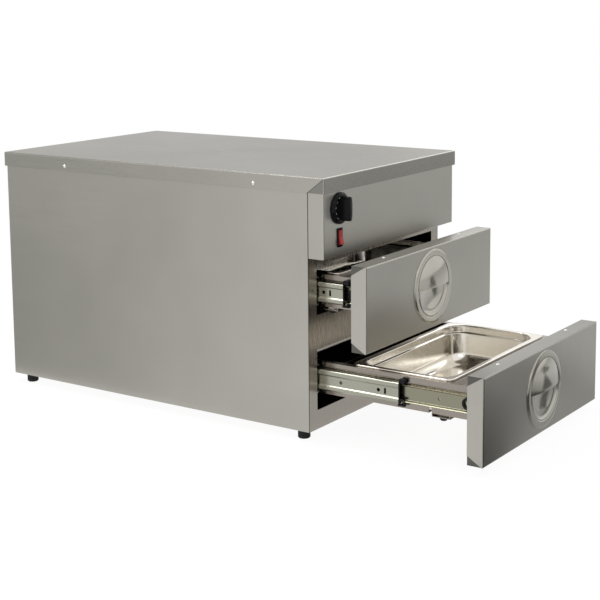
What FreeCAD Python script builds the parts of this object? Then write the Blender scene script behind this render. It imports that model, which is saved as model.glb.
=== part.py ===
import FreeCAD, Part

import math
import os

from FreeCAD import Vector

# Two-drawer heated cabinet for gastronorm pans, folded from stainless sheet.
# X runs across the front (left is -X), Y runs from the front to the back, Z is up.
# While modelling, x = 0 is the middle, y = 0 the face of the control fascia and z = 0 the floor.
# Every part is built with its drawer shut, then moved out to the rest pose with both drawers open.

# ------------------------------------------------------------------ casing
cabinet_width = 410.0
cabinet_depth = 676.0           # fascia face to rear face
cabinet_height = 405.0          # lower edge of the casing to the top of the cover
casing_sheet = 1.2
cover_sheet = 1.5
cover_overhang = 3.0
cover_lip = 25.0
fascia_depth = 29.0             # fascia face to the plane of the front frame
fascia_gap = 0.8                # between the fascia's flanges and the side panels
fascia_height = 127.0           # with the cover's edge
stile_width = 23.0
bottom_rail_height = 31.0
chamber_head = 15.0             # chamber's ceiling below the fascia's lower edge
divider_over_rim = 11.0         # divider's lower edge above the lower pans' rims
divider_under_pan = 1.5         # divider's upper edge below the upper pans' floors
divider_depth = 26.0
divider_end_gap = 0.3
divider_roll = 8.0              # radius of the rolled lower edge
compartment_sill = 12.0         # opening behind the fascia, above its lower edge
compartment_head = 13.0         # and below the cover's top
return_flange = 12.0
rear_flange = 18.0              # of the side panels, behind the rear panel's screws
bend_radius = 1.4               # of the sheet's middle line
sheet_land = 1.0                # between the edges of neighbouring sheets

# ------------------------------------------------------------------ feet and screws
foot_height = 15.0
foot_radius = 10.0
foot_inset = 16.0
front_foot_y = 50.0
rear_foot_inset = 28.0
screw_head_radius = 3.6
screw_head_height = 2.2
front_cover_screw_y = 130.5
rear_cover_screw_inset = 142.0
cover_screw_drop = 17.0         # below the top of the cover
rear_screw_heights = (60.0, 215.0)
top_rear_screw_drop = 55.0      # below the top of the cover
rear_screw_inset = 9.0

# ------------------------------------------------------------------ heated chamber
liner_sheet = 1.0
rear_cavity = 34.0              # between the rear liner and the rear panel
rear_insulation_thickness = 20.0
ceiling_insulation_thickness = 30.0
element_width = 44.0
element_thickness = 6.0
element_rear_gap = 40.8         # in front of the rear liner
element_front_y = 100.0
element_land = 12.0             # bare end beyond the terminal posts
terminal_post = 5.0
terminal_post_height = 3.0
upper_element_rise = 1.5        # its underside above the upper front's lower edge
front_support_inset = 40.0      # from the element's ends to the support's front edge
rear_support_inset = 60.0
element_support_width = 15.0
element_support_thickness = 2.0
seat_gap = 0.2

# ------------------------------------------------------------------ controls
control_inset = 44.5            # from the casing's side to the dial's axis
dial_head_gap = 2.0             # between the dial and the cover's lip
dial_radius = 25.0
dial_skirt = 6.0
dial_gap = 0.5
dial_grip_width = 13.0
dial_grip_length = 40.0
dial_grip_height = 15.0
spindle_radius = 3.0
spindle_clearance = 0.06
spindle_engagement = 12.0
thermostat_width = 36.0
thermostat_height = 34.0
thermostat_depth = 34.0
capillary_radius = 1.2
capillary_stub = 12.0           # above the ceiling insulation
bulb_radius = 3.0
bulb_length = 75.0
bulb_setback = 14.0             # in front of the rear liner
switch_gap = 6.0                # between the dial and the switch
switch_bezel_width = 14.0
switch_bezel_height = 30.0
switch_bezel_thickness = 2.0
switch_body_width = 13.0
switch_body_height = 28.0
switch_body_depth = 22.0
rocker_width = 10.0
rocker_half_height = 11.6
rocker_stand_out = 3.4
rocker_keel_depth = 4.0         # behind the pivot
rocker_keel_height = 7.8
rocker_tilt = 8.0
rocker_side_gap = 0.3
rocker_pivot_depth = 1.0        # behind the fascia's face

# ------------------------------------------------------------------ rear panel fittings
gland_inset = 55.0              # from the casing's side
gland_drop = 80.0               # below the top of the cover
gland_bore_radius = 5.0
gland_thread_radius = 10.0
gland_flange_radius = 13.5
gland_flange_thickness = 6.0
gland_dome_length = 18.0
gland_dome_radius = 11.0
gland_clearance = 0.1
vent_slots = 12
vent_slot_pitch = 12.0
vent_slot_width = 4.0
vent_slot_height = 30.0
vent_slot_drop = 75.0           # lower ends below the top of the cover
terminal_block_width = 58.0
terminal_block_height = 22.0
terminal_block_depth = 18.0
terminal_block_gap = 14.0       # beside the gland's flange
terminal_ways = 5
terminal_well_depth = 8.0

# ------------------------------------------------------------------ drawers
lower_open = 274.0
upper_open = 76.0
front_gap = 6.5                 # between the two fronts
front_head_gap = 3.5            # between the upper front and the fascia
front_depth = 27.0
lower_front_bottom = 0.0
flange_slope = 15.0             # how far the side flanges' ends drop at the rear
front_tab = 26.0
lining_side_gap = 3.3           # to the drawer members' outer faces
lining_depth = 15.0
front_screw_inset = 82.0        # from the casing's side
front_screw_setback = 19.5
handle_rise = 1.8               # centre above the middle of the front
handle_edge = 5.5               # ring's edge to the front's
handle_ring = 15.5              # width of the ring
handle_sheet = 1.2
handle_proud = 2.0
handle_edge_slope = 40.0        # degrees
handle_bowl_slope = 60.0
handle_bowl_depth = 18.0        # from the ring's front face to the bowl's floor
hood_slope = 20.0
hood_rise = 7.0                 # over the ring's front face
hood_lap = 1.0                  # of the hood over the ring
hole_clearance = 0.5

pan_side_gap = 6.8              # to the slides; makes gastronorm 1/3 of 325 x 176 x 65
pan_rear_gap = 25.8             # last frame's end to the rear liner
pan_element_gap = 6.0           # over the element
pan_rim_drop = 24.0             # below the front's upper edge
pan_setback = 75.0              # front rim behind the face
pan_sheet = 0.8
pan_rim = 9.5
pan_rim_corner = 16.0
pan_rim_skirt = 3.0
pan_corner = 26.0
pan_taper = 9.0
pan_floor_bevel = 9.0
corner_steps = 4                # flats round each corner of a pan
pans_per_drawer = 3
pan_row_clearance = 3.0         # left over in a full row

frame_sheet = 1.2
frame_drop = 54.0               # frame's lower edge below the pans' rims
frame_flange = 11.0
frame_end = 9.0                 # behind the last pan
frame_slit_y = 105.0
frame_slit = 5.0
bracket_y = 74.0
bracket_length = 31.0
bracket_width = 19.0
bracket_drop = 5.0
buffer_size = 13.0
buffer_height = 6.0

# ------------------------------------------------------------------ telescopic slides
slide_rear_gap = 59.8           # to the rear liner
slide_drop = 29.0               # centre below the pans' rims
slide_sheet = 1.2
slide_half_height = 22.85
slide_thickness = 12.7
ball_radius = 1.65
ball_race_clearance = 0.4
outer_ball_depth = 5.0          # ball centres, from the liner
inner_ball_depth = 8.6
lip_wrap = 75.0                 # degrees of each race that the lip covers
middle_web_depth = 2.6
middle_rib_step = 1.0
middle_rib_half_height = 8.0
rib_bend = 30.0
middle_lead = 11.0              # middle member ahead of the cabinet member when shut
cabinet_member_setback = 2.0    # behind the front frame's face
drawer_member_setback = 2.0     # behind the front's rear edge
web_hole_radius = 2.5
web_holes = (36.0, 104.0)       # behind the front end
web_slot_y = 22.0
web_slot_width = 4.0
web_slot_height = 9.0
cage_sheet = 0.4
cage_short = 25.0               # cage shorter than half the slide
cage_web_depth = 1.6
inner_cage_web_depth = 5.0
cage_edge = 1.85                # ball centre to the strip's edge
balls_per_row = 2

# ------------------------------------------------------------------ derived places
touch = 1e-6                    # farthest that coincident points lie apart
half_width = cabinet_width / 2
side_inner = half_width - casing_sheet
case_bottom = foot_height
case_top = foot_height + cabinet_height
cover_underside = case_top - cover_sheet
frame_face = fascia_depth
frame_back = frame_face + casing_sheet
rear_inner = cabinet_depth - casing_sheet
opening_half = half_width - stile_width
fascia_bottom = cabinet_height - fascia_height      # heights above the casing's lower edge
chamber_top = fascia_bottom - chamber_head
compartment_bottom = fascia_bottom + compartment_sill
compartment_top = cabinet_height - compartment_head
front_height = (fascia_bottom - front_head_gap - front_gap - lower_front_bottom) / 2
front_spacing = front_height + front_gap
pan_rim_height = front_height - pan_rim_drop        # above the front's lower edge
element_top = bottom_rail_height + element_support_thickness + element_thickness
pan_depth = pan_rim_height - element_top - pan_element_gap
divider_bottom = lower_front_bottom + pan_rim_height + divider_over_rim
divider_top = front_spacing + pan_rim_height - pan_depth - divider_under_pan
chamber_floor_top = case_bottom + bottom_rail_height
chamber_ceiling_z = case_bottom + chamber_top
rear_liner_y = rear_inner - rear_cavity
lower_element_bottom = chamber_floor_top + element_support_thickness
upper_element_bottom = case_bottom + front_spacing + upper_element_rise
element_back = rear_liner_y - element_rear_gap
element_support_y = (element_front_y + front_support_inset, element_back - rear_support_inset)
foot_y = (front_foot_y, cabinet_depth - rear_foot_inset)
cover_screw_y = (front_cover_screw_y, cabinet_depth - rear_cover_screw_inset)
rear_screw_levels = rear_screw_heights + (cabinet_height - top_rear_screw_drop,)
control_x = control_inset - half_width
dial_z = case_top - cover_lip - dial_head_gap - dial_radius
switch_z = dial_z - dial_radius - switch_gap - switch_bezel_height / 2
gland_x = half_width - gland_inset
gland_z = case_top - gland_drop
vent_slot_bottom = cabinet_height - vent_slot_drop
front_bottom = {"lower": case_bottom + lower_front_bottom,
                "upper": case_bottom + lower_front_bottom + front_spacing}
opening = {"lower": lower_open, "upper": upper_open}
slide_face = opening_half - slide_thickness
slide_length = rear_liner_y - slide_rear_gap - frame_face - cabinet_member_setback
slide_height = pan_rim_height - slide_drop
cage_length = slide_length / 2 - cage_short
frame_bottom = pan_rim_height - frame_drop
pan_length = 2 * (slide_face - pan_side_gap)
pan_row = rear_liner_y - pan_rear_gap - pan_setback - pan_row_clearance - frame_end
pan_width = pan_row / pans_per_drawer
lining_half_width = slide_face - lining_side_gap
front_screw_x = half_width - front_screw_inset
handle_radius = front_height / 2 - handle_edge
handle_bowl_radius = handle_radius - handle_ring
race_radius = ball_radius + ball_race_clearance + slide_sheet / 2
outer_ball_height = slide_half_height - slide_sheet / 2 - race_radius
inner_ball_height = outer_ball_height - 2 * race_radius
frame_rear = pan_setback + pans_per_drawer * pan_width + pan_row_clearance + frame_end
rim_underside = pan_rim_height - pan_rim_skirt
front_most = -max(opening.values()) - handle_proud - hood_rise
rear_most = cabinet_depth + gland_flange_thickness + gland_dome_length
rest_middle_y = (front_most + rear_most) / 2


# ------------------------------------------------------------------ helpers
def block(x, y, z):
    """Box between two coordinates on each axis, given in any order."""
    low = Vector(min(x), min(y), min(z))
    return Part.makeBox(abs(x[1] - x[0]), abs(y[1] - y[0]), abs(z[1] - z[0]), low)


def rod(start, end, radius):
    """Round bar between two points."""
    axis = end - start
    return Part.makeCylinder(radius, axis.Length, start, axis)


def prism(points, sweep):
    """Solid swept from a closed outline of straight edges."""
    return Part.Face(Part.makePolygon(points + points[:1])).extrude(sweep)


def fused(shapes):
    """One clean solid from touching or overlapping shapes."""
    shapes = list(shapes)
    return shapes[0].fuse(shapes[1:]).removeSplitter()


def mirrored(shape):
    """The same shape on the other side of the cabinet."""
    return shape.mirror(Vector(0, 0, 0), Vector(1, 0, 0))


def in_xz(y):
    """Puts a flat outline's (across, up) in space at one depth."""
    return lambda point: Vector(point.x, y, point.y)


def in_yz(x):
    """Puts a flat outline's (back, up) in space at one side position."""
    return lambda point: Vector(x, point.x, point.y)


def normal_of(angle):
    """Unit vector to the left of a heading in radians."""
    return Vector(-math.sin(angle), math.cos(angle), 0)


def sheet_stations(start, heading, moves):
    """Stations of each straight or curved stretch of a sheet's middle line.

    A station is a point, the direction of the sheet's left face there, and how far the faces
    lie from the middle line in half thicknesses, which is more than one at a sharp fold.
    """
    point, angle = Vector(start[0], start[1], 0), math.radians(heading)
    stretches, joint = [], (point, angle, 1.0)
    for kind, *values in moves:
        if kind == "run":
            forward = Vector(math.cos(angle), math.sin(angle), 0)
            point = point + forward * values[0]
            stretches.append([joint, (point, angle, 1.0)])
        elif kind == "fold":
            turn = math.radians(values[0])
            stretches[-1][-1] = (point, angle + turn / 2, 1 / math.cos(turn / 2))
            angle += turn
        else:
            turn = math.radians(values[1])
            centre = point + normal_of(angle) * math.copysign(values[0], turn)
            headings = [angle + turn * share for share in (0.0, 0.5, 1.0)]
            arc = [(centre - normal_of(a) * math.copysign(values[0], turn), a, 1.0)
                   for a in headings]
            stretches.append(arc)
            point, angle = arc[-1][:2]
        joint = stretches[-1][-1]
    return stretches


def edge_through(points):
    """Straight edge through two points, or an arc through three."""
    if len(points) == 2:
        return Part.LineSegment(*points).toShape()
    return Part.Arc(*points).toShape()


def bent_sheet(start, heading, moves, thickness, place):
    """Face of a bent sheet's section.

    Moves are ("run", length), ("bend", radius, degrees) and, between runs, ("fold", degrees).
    """
    stretches = sheet_stations(start, heading, moves)
    left, right = [[[place(point + normal_of(angle) * side * spread * thickness / 2)
                     for point, angle, spread in stretch] for stretch in stretches]
                   for side in (1, -1)]
    outline = left + [[left[-1][-1], right[-1][-1]]]
    outline += [points[::-1] for points in reversed(right)]
    outline.append([right[0][0], left[0][0]])
    return Part.Face(Part.Wire([edge_through(points) for points in outline]))


def faceted_outline(half_x, half_y, corner, z):
    """Points of a rectangle about the Z axis, each corner rounded in equal steps."""
    points = []
    for quarter, (side_x, side_y) in enumerate(((1, 1), (-1, 1), (-1, -1), (1, -1))):
        centre = Vector(side_x * (half_x - corner), side_y * (half_y - corner), z)
        for step in range(corner_steps + 1):
            angle = math.radians(90 * (quarter + step / corner_steps))
            points.append(centre + Vector(math.cos(angle), math.sin(angle), 0) * corner)
    return points


def frustum(low, high):
    """Solid with flat sides between two outlines that have equal numbers of points."""
    sides = [[low[n - 1], low[n], high[n], high[n - 1]] for n in range(len(low))]
    faces = [Part.Face(Part.makePolygon(points + points[:1])) for points in sides + [low, high]]
    return Part.makeSolid(Part.makeShell(faces))


def tray(x, y, z, sheet):
    """Folded tray with its rounded face at the front and its walls running to the back."""
    outer = block(x, y, z)
    edges = [edge for edge in outer.Edges if abs(edge.CenterOfMass.y - y[0]) < touch]
    outer = outer.makeFillet(bend_radius + sheet / 2, edges)
    inner = block((x[0] + sheet, x[1] - sheet), (y[0] + sheet, y[1]), (z[0] + sheet, z[1] - sheet))
    return outer.cut(inner)


def hexagon_bar(start, outward, radius, length):
    """Six-sided bar that stands on one end, its corners on a circle."""
    corners = [Vector(radius * math.cos(math.radians(60 * number)),
                      radius * math.sin(math.radians(60 * number)), 0) for number in range(6)]
    bar = prism(corners, Vector(0, 0, length))
    bar.Placement = FreeCAD.Placement(start, FreeCAD.Rotation(Vector(0, 0, 1), outward))
    return bar


def screw(seat, outward):
    """Head of a small hexagon screw, standing on its seat."""
    return hexagon_bar(seat, outward, screw_head_radius, screw_head_height)


# ------------------------------------------------------------------ casing
def side_screw_seats(side):
    """Where the cover's screws stand on one side lip, and their outward direction."""
    outward = Vector(side, 0, 0)
    return [(Vector(side * (half_width + cover_overhang), y, case_top - cover_screw_drop), outward)
            for y in cover_screw_y]


def rear_screw_seats():
    """Where the rear panel's screws stand, and their outward direction."""
    return [(Vector(side * (side_inner - rear_screw_inset), cabinet_depth, case_bottom + level),
             Vector(0, 1, 0)) for side in (-1, 1) for level in rear_screw_levels]


def side_panel(side):
    """Side skin with a flange turned in under the cover and another behind the rear panel."""
    middle = half_width - casing_sheet / 2
    moves = [("run", cover_underside - case_bottom - casing_sheet / 2), ("fold", 90),
             ("run", return_flange)]
    section = bent_sheet((middle, case_bottom), 90, moves, casing_sheet, in_xz(frame_face))
    skin = section.extrude(Vector(0, cabinet_depth - frame_face, 0))
    room = block((0, side_inner), (rear_inner, cabinet_depth), (case_bottom, case_top))
    flange = block((side_inner - rear_flange, side_inner),
                   (rear_inner - casing_sheet, rear_inner),
                   (case_bottom + casing_sheet, cover_underside - casing_sheet))
    panel = fused([skin.cut(room), flange])
    return panel if side > 0 else mirrored(panel)


def rear_panel():
    """Flat back with vent slots over the control compartment and the cord gland's hole."""
    faces = (rear_inner, cabinet_depth)
    panel = block((-side_inner, side_inner), faces, (case_bottom, cover_underside))
    cut_through = (rear_inner - 1, cabinet_depth + 1)
    for number in range(vent_slots):
        x = (number - vent_slots / 2) * vent_slot_pitch - gland_flange_radius
        low = case_bottom + vent_slot_bottom
        panel = panel.cut(block((x, x + vent_slot_width), cut_through,
                                (low, low + vent_slot_height)))
    hole = rod(Vector(gland_x, cut_through[0], gland_z), Vector(gland_x, cut_through[1], gland_z),
               gland_thread_radius + gland_clearance)
    return panel.cut(hole)


def base_panel():
    """Bottom sheet with its long edges turned up inside the side panels."""
    middle = side_inner - casing_sheet / 2
    moves = [("run", return_flange), ("fold", 90), ("run", 2 * middle), ("fold", 90),
             ("run", return_flange)]
    start = (-middle, case_bottom + casing_sheet / 2 + return_flange)
    section = bent_sheet(start, 270, moves, casing_sheet, in_xz(frame_back + return_flange))
    return section.extrude(Vector(0, rear_inner - casing_sheet - frame_back - return_flange, 0))


def top_cover():
    """Lid with lips all round; each side lip ends in a slant over a tab of the front lip."""
    outer_x = half_width + cover_overhang
    front, rear = -cover_overhang, cabinet_depth + cover_overhang
    lip_bottom = case_top - cover_lip
    shell = block((-outer_x, outer_x), (front, rear), (lip_bottom, case_top))
    upper = [edge for edge in shell.Edges if abs(edge.CenterOfMass.z - case_top) < touch]
    shell = shell.makeFillet(bend_radius + cover_sheet / 2, upper)
    inner_x = outer_x - cover_sheet
    room = block((-inner_x, inner_x), (front + cover_sheet, rear - cover_sheet),
                 (lip_bottom, cover_underside))
    cover = shell.cut(room)
    slant = [Vector(0, front + cover_sheet, lip_bottom), Vector(0, frame_face, lip_bottom),
             Vector(0, front + cover_sheet, cover_underside)]
    for side in (-1, 1):
        wedge = prism(slant, Vector(cover_sheet, 0, 0))
        wedge.translate(Vector(min(side * inner_x, side * outer_x), 0, 0))
        tab = block((side * (half_width + seat_gap), side * inner_x),
                    (front + cover_sheet, frame_face), (lip_bottom, cover_underside))
        cover = cover.cut(wedge).fuse(tab)
    return cover.removeSplitter()


def control_fascia():
    """Folded panel that carries the dial and the switch."""
    fascia = tray((-half_width, half_width), (0, fascia_depth - fascia_gap),
                  (case_bottom + fascia_bottom, cover_underside), casing_sheet)
    shaft_hole = rod(Vector(control_x, -1, dial_z), Vector(control_x, 2 * casing_sheet, dial_z),
                     spindle_radius + 1)
    half_x = switch_body_width / 2 + seat_gap
    half_z = switch_body_height / 2 + seat_gap
    cutout = block((control_x - half_x, control_x + half_x), (-1, 2 * casing_sheet),
                   (switch_z - half_z, switch_z + half_z))
    return fascia.cut(shaft_hole).cut(cutout)


def front_frame():
    """Punched sheet round the drawer openings and the control compartment."""
    top = cover_underside - casing_sheet - sheet_land
    faces = (frame_face, frame_back)
    frame = block((-side_inner, side_inner), faces, (case_bottom, top))
    drawers = block((-opening_half, opening_half), (0, 2 * frame_face),
                    (chamber_floor_top, chamber_ceiling_z))
    controls = block((-opening_half, opening_half), (0, 2 * frame_face),
                     (case_bottom + compartment_bottom, case_bottom + compartment_top))
    flanges = [block((side * (side_inner - casing_sheet), side * side_inner),
                     (frame_back, frame_back + return_flange - sheet_land), (case_bottom, top))
               for side in (-1, 1)]
    return fused([frame.cut(drawers).cut(controls)] + flanges)


def divider_rail():
    """Rail between the drawer openings, rolled under at its lower edge."""
    upper_z = case_bottom + divider_top - casing_sheet / 2
    lower_z = case_bottom + divider_bottom + casing_sheet / 2
    face_y = frame_face + casing_sheet / 2
    moves = [("run", divider_depth), ("fold", 90), ("run", upper_z - lower_z - divider_roll),
             ("bend", divider_roll, 90), ("run", divider_depth - divider_roll)]
    start = (face_y + divider_depth, upper_z)
    section = bent_sheet(start, 180, moves, casing_sheet, in_yz(-opening_half))
    rail = section.extrude(Vector(2 * opening_half, 0, 0))
    for side in (-1, 1):
        relief = block((side * (opening_half - divider_end_gap), side * opening_half),
                       (0, frame_back), (0, case_top))
        rail = rail.cut(relief)
    return rail


def casing_feet():
    """Four round feet under the base."""
    feet = []
    for x in (-half_width + foot_inset, half_width - foot_inset):
        for y in foot_y:
            feet.append(Part.makeCylinder(foot_radius, foot_height, Vector(x, y, 0)))
    return Part.makeCompound(feet)


def cabinet_screws():
    """Screws of the cover and of the rear panel."""
    seats = side_screw_seats(-1) + side_screw_seats(1) + rear_screw_seats()
    return Part.makeCompound([screw(seat, outward) for seat, outward in seats])


# ------------------------------------------------------------------ heated chamber
def chamber_liner():
    """Inner wrapper: both sides and the ceiling of the heated chamber."""
    outer_x, outer_z = opening_half + liner_sheet, chamber_ceiling_z + liner_sheet
    wrapper = block((-outer_x, outer_x), (frame_back, rear_liner_y),
                    (chamber_floor_top - liner_sheet, outer_z))
    room = block((-opening_half, opening_half), (frame_back, rear_liner_y),
                 (chamber_floor_top - liner_sheet, chamber_ceiling_z))
    return wrapper.cut(room).cut(bulb_passage())


def chamber_floor():
    """Floor sheet of the heated chamber."""
    return block((-opening_half, opening_half), (frame_back, rear_liner_y),
                 (chamber_floor_top - liner_sheet, chamber_floor_top))


def rear_liner():
    """Back of the heated chamber."""
    outer_x = opening_half + liner_sheet
    return block((-outer_x, outer_x), (rear_liner_y, rear_liner_y + liner_sheet),
                 (chamber_floor_top - liner_sheet, chamber_ceiling_z + liner_sheet))


def bulb_passage():
    """Hole for the thermostat's capillary through the chamber's ceiling."""
    y = rear_liner_y - bulb_setback
    top = chamber_ceiling_z + liner_sheet + ceiling_insulation_thickness
    return rod(Vector(control_x, y, chamber_ceiling_z - 1), Vector(control_x, y, top + 1),
               capillary_radius + seat_gap)


def insulation_slabs():
    """Mineral wool beside, above, behind and below the heated chamber."""
    front = frame_back + return_flange
    back = rear_liner_y
    ceiling = chamber_ceiling_z + liner_sheet
    inner_x = opening_half + liner_sheet
    slab_bottom = case_bottom + casing_sheet + return_flange + sheet_land
    slabs = [block((side * inner_x, side * side_inner), (front, back), (slab_bottom, ceiling))
             for side in (-1, 1)]
    slabs.append(block((-side_inner, side_inner), (front, back),
                       (ceiling, ceiling + ceiling_insulation_thickness)).cut(bulb_passage()))
    slabs.append(block((-inner_x, inner_x), (front, back),
                       (case_bottom + casing_sheet, chamber_floor_top - liner_sheet)))
    slabs.append(block((-inner_x, inner_x),
                       (back + liner_sheet, back + liner_sheet + rear_insulation_thickness),
                       (chamber_floor_top, ceiling)))
    return Part.makeCompound(slabs)


def heating_element(bottom):
    """Flat steel-sheathed strip heater, with two terminal posts at its back end."""
    half = element_width / 2
    back = element_back
    strip = block((-half, half), (element_front_y, back), (bottom, bottom + element_thickness))
    top = bottom + element_thickness
    posts = [block((x - terminal_post / 2, x + terminal_post / 2),
                   (back - element_land, back - element_land + terminal_post),
                   (top, top + terminal_post_height)) for x in (-half / 2, half / 2)]
    return fused([strip] + posts)


def element_supports():
    """Flat bars under the strip heaters: two on the floor, two from wall to wall."""
    bars = []
    for bottom in (lower_element_bottom, upper_element_bottom):
        low = max(chamber_floor_top, bottom - element_support_thickness)
        for y in element_support_y:
            bars.append(block((-opening_half, opening_half), (y, y + element_support_width),
                              (low, bottom)))
    return Part.makeCompound(bars)


# ------------------------------------------------------------------ controls
def thermostat_body():
    """Thermostat behind the fascia, with the bearing of its spindle."""
    half_x, half_z = thermostat_width / 2, thermostat_height / 2
    case = block((control_x - half_x, control_x + half_x),
                 (casing_sheet, casing_sheet + thermostat_depth), (dial_z - half_z, dial_z + half_z))
    bore = rod(Vector(control_x, 0, dial_z), Vector(control_x, spindle_end(), dial_z),
               spindle_radius + spindle_clearance)
    return case.cut(bore)


def spindle_end():
    """How deep the spindle's bearing reaches behind the fascia's face."""
    return casing_sheet + spindle_engagement


def thermostat_bulb():
    """Sensing bulb behind the drawers, on its capillary through the chamber's ceiling."""
    y = rear_liner_y - bulb_setback
    bulb_top = chamber_ceiling_z - bulb_radius
    top = chamber_ceiling_z + liner_sheet + ceiling_insulation_thickness + capillary_stub
    capillary = rod(Vector(control_x, y, bulb_top), Vector(control_x, y, top), capillary_radius)
    bulb = rod(Vector(control_x, y, bulb_top - bulb_length), Vector(control_x, y, bulb_top),
               bulb_radius)
    return fused([capillary, bulb])


def thermostat_spindle():
    """Shaft between the thermostat and the dial."""
    front = -dial_gap - dial_skirt - dial_grip_height / 2
    return rod(Vector(control_x, front, dial_z), Vector(control_x, spindle_end() - seat_gap, dial_z),
               spindle_radius)


def dial_knob():
    """Dial: a round skirt and a bar grip across it."""
    back = -dial_gap
    skirt = rod(Vector(control_x, back, dial_z), Vector(control_x, back - dial_skirt, dial_z),
                dial_radius)
    half_x, half_z = dial_grip_width / 2, dial_grip_length / 2
    grip = block((control_x - half_x, control_x + half_x),
                 (back - dial_skirt - dial_grip_height, back - dial_skirt),
                 (dial_z - half_z, dial_z + half_z))
    corners = [edge for edge in grip.Edges
               if abs(edge.tangentAt(edge.FirstParameter).y) > 0.9]
    grip = grip.makeFillet(0.45 * dial_grip_width, corners)
    bore = rod(Vector(control_x, back, dial_z),
               Vector(control_x, back - dial_skirt - dial_grip_height / 2, dial_z), spindle_radius)
    return fused([skirt, grip]).cut(bore)


def switch_housing():
    """Rocker switch housing clipped into the fascia."""
    half_x, half_z = switch_bezel_width / 2, switch_bezel_height / 2
    bezel = block((control_x - half_x, control_x + half_x), (-switch_bezel_thickness, 0),
                  (switch_z - half_z, switch_z + half_z))
    body = block((control_x - switch_body_width / 2, control_x + switch_body_width / 2),
                 (0, switch_body_depth),
                 (switch_z - switch_body_height / 2, switch_z + switch_body_height / 2))
    well_x = rocker_width / 2 + rocker_side_gap
    well_z = switch_body_height / 2 - 2 * rocker_side_gap
    well = block((control_x - well_x, control_x + well_x),
                 (-2 * switch_bezel_thickness, switch_body_depth / 2),
                 (switch_z - well_z, switch_z + well_z))
    return fused([bezel, body]).cut(well)


def switch_rocker():
    """Rocker with two shallow faces, resting with its lower half out."""
    slope = math.tan(math.radians(rocker_tilt))
    half = rocker_half_height
    face = rocker_pivot_depth + rocker_stand_out
    keel, keel_half = rocker_keel_depth, rocker_keel_height / 2
    outline = [(-face, 0), (-face - half * slope, half), (0, half), (keel, keel_half),
               (keel, -keel_half), (0, -half), (-face - half * slope, -half)]
    points = [Vector(-rocker_width / 2, y, z) for y, z in outline]
    rocker = prism(points, Vector(rocker_width, 0, 0))
    rocker.rotate(Vector(0, 0, 0), Vector(1, 0, 0), -rocker_tilt)
    rocker.translate(Vector(control_x, rocker_pivot_depth, switch_z))
    return rocker


def terminal_block():
    """Mains terminal block inside the rear panel, with a well over each way."""
    right = gland_x - gland_flange_radius - terminal_block_gap
    left = right - terminal_block_width
    depth = (rear_inner - terminal_block_depth, rear_inner)
    body = block((left, right), depth,
                 (gland_z - terminal_block_height / 2, gland_z + terminal_block_height / 2))
    pitch = terminal_block_width / terminal_ways
    for way in range(terminal_ways):
        x = left + pitch * (way + 0.5)
        body = body.cut(block((x - pitch / 3, x + pitch / 3),
                              (depth[0], depth[0] + terminal_well_depth),
                              (gland_z - pitch / 3, gland_z + pitch / 3)))
    return body


def cable_gland():
    """Gland for the supply cord: thread through the rear panel, hexagon and dome outside."""
    nut = gland_flange_thickness
    bands = [(rear_inner - nut, cabinet_depth + nut, gland_thread_radius),
             (cabinet_depth + nut, rear_most, gland_dome_radius)]
    turned = [rod(Vector(gland_x, near, gland_z), Vector(gland_x, far, gland_z), radius)
              for near, far, radius in bands]
    turned.append(hexagon_bar(Vector(gland_x, cabinet_depth, gland_z), Vector(0, 1, 0),
                              gland_flange_radius, nut))
    bore = rod(Vector(gland_x, rear_inner - nut, gland_z), Vector(gland_x, rear_most, gland_z),
               gland_bore_radius)
    return fused(turned).cut(bore)


# ------------------------------------------------------------------ drawers
def front_screw_seats(level):
    """Where the two screws on a front's top flange stand."""
    top = front_bottom[level] + front_height
    return [(Vector(side * front_screw_x, front_screw_setback, top), Vector(0, 0, 1))
            for side in (-1, 1)]


def handle_centre(level):
    """Middle of the handle on the front's face."""
    return Vector(0, 0, front_bottom[level] + front_height / 2 + handle_rise)


def drawer_front(level):
    """Folded front: its side flanges end in slants over tabs of the top and bottom flanges."""
    bottom = front_bottom[level]
    top = bottom + front_height
    front = tray((-half_width, half_width), (0, front_depth), (bottom, top), casing_sheet)
    start = 2 * bend_radius
    for side in (-1, 1):
        for edge, inward in ((top, -1), (bottom, 1)):
            slant = [Vector(0, start, edge), Vector(0, front_depth, edge),
                     Vector(0, front_depth, edge + inward * flange_slope)]
            wedge = prism(slant, Vector(casing_sheet, 0, 0))
            wedge.translate(Vector(min(side * side_inner, side * half_width), 0, 0))
            tab = block((side * (side_inner - casing_sheet), side * side_inner),
                        (start, front_depth), (edge, edge + inward * front_tab))
            front = front.cut(wedge).fuse(tab)
    hole = rod(handle_centre(level) - Vector(0, 1, 0),
               handle_centre(level) + Vector(0, 2 * casing_sheet, 0),
               handle_bowl_radius + hole_clearance)
    return front.cut(hole).removeSplitter()


def front_lining(level):
    """Tray that closes the back of the front between the slides."""
    bottom = front_bottom[level] + casing_sheet
    top = front_bottom[level] + front_height - casing_sheet
    outer = block((-lining_half_width, lining_half_width),
                  (front_depth - lining_depth, front_depth), (bottom, top))
    inner = block((liner_sheet - lining_half_width, lining_half_width - liner_sheet),
                  (front_depth - lining_depth, front_depth - liner_sheet),
                  (bottom + liner_sheet, top - liner_sheet))
    return outer.cut(inner)


def front_screws(level):
    """The two screws on a front's top flange."""
    return Part.makeCompound([screw(seat, outward) for seat, outward in front_screw_seats(level)])


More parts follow.
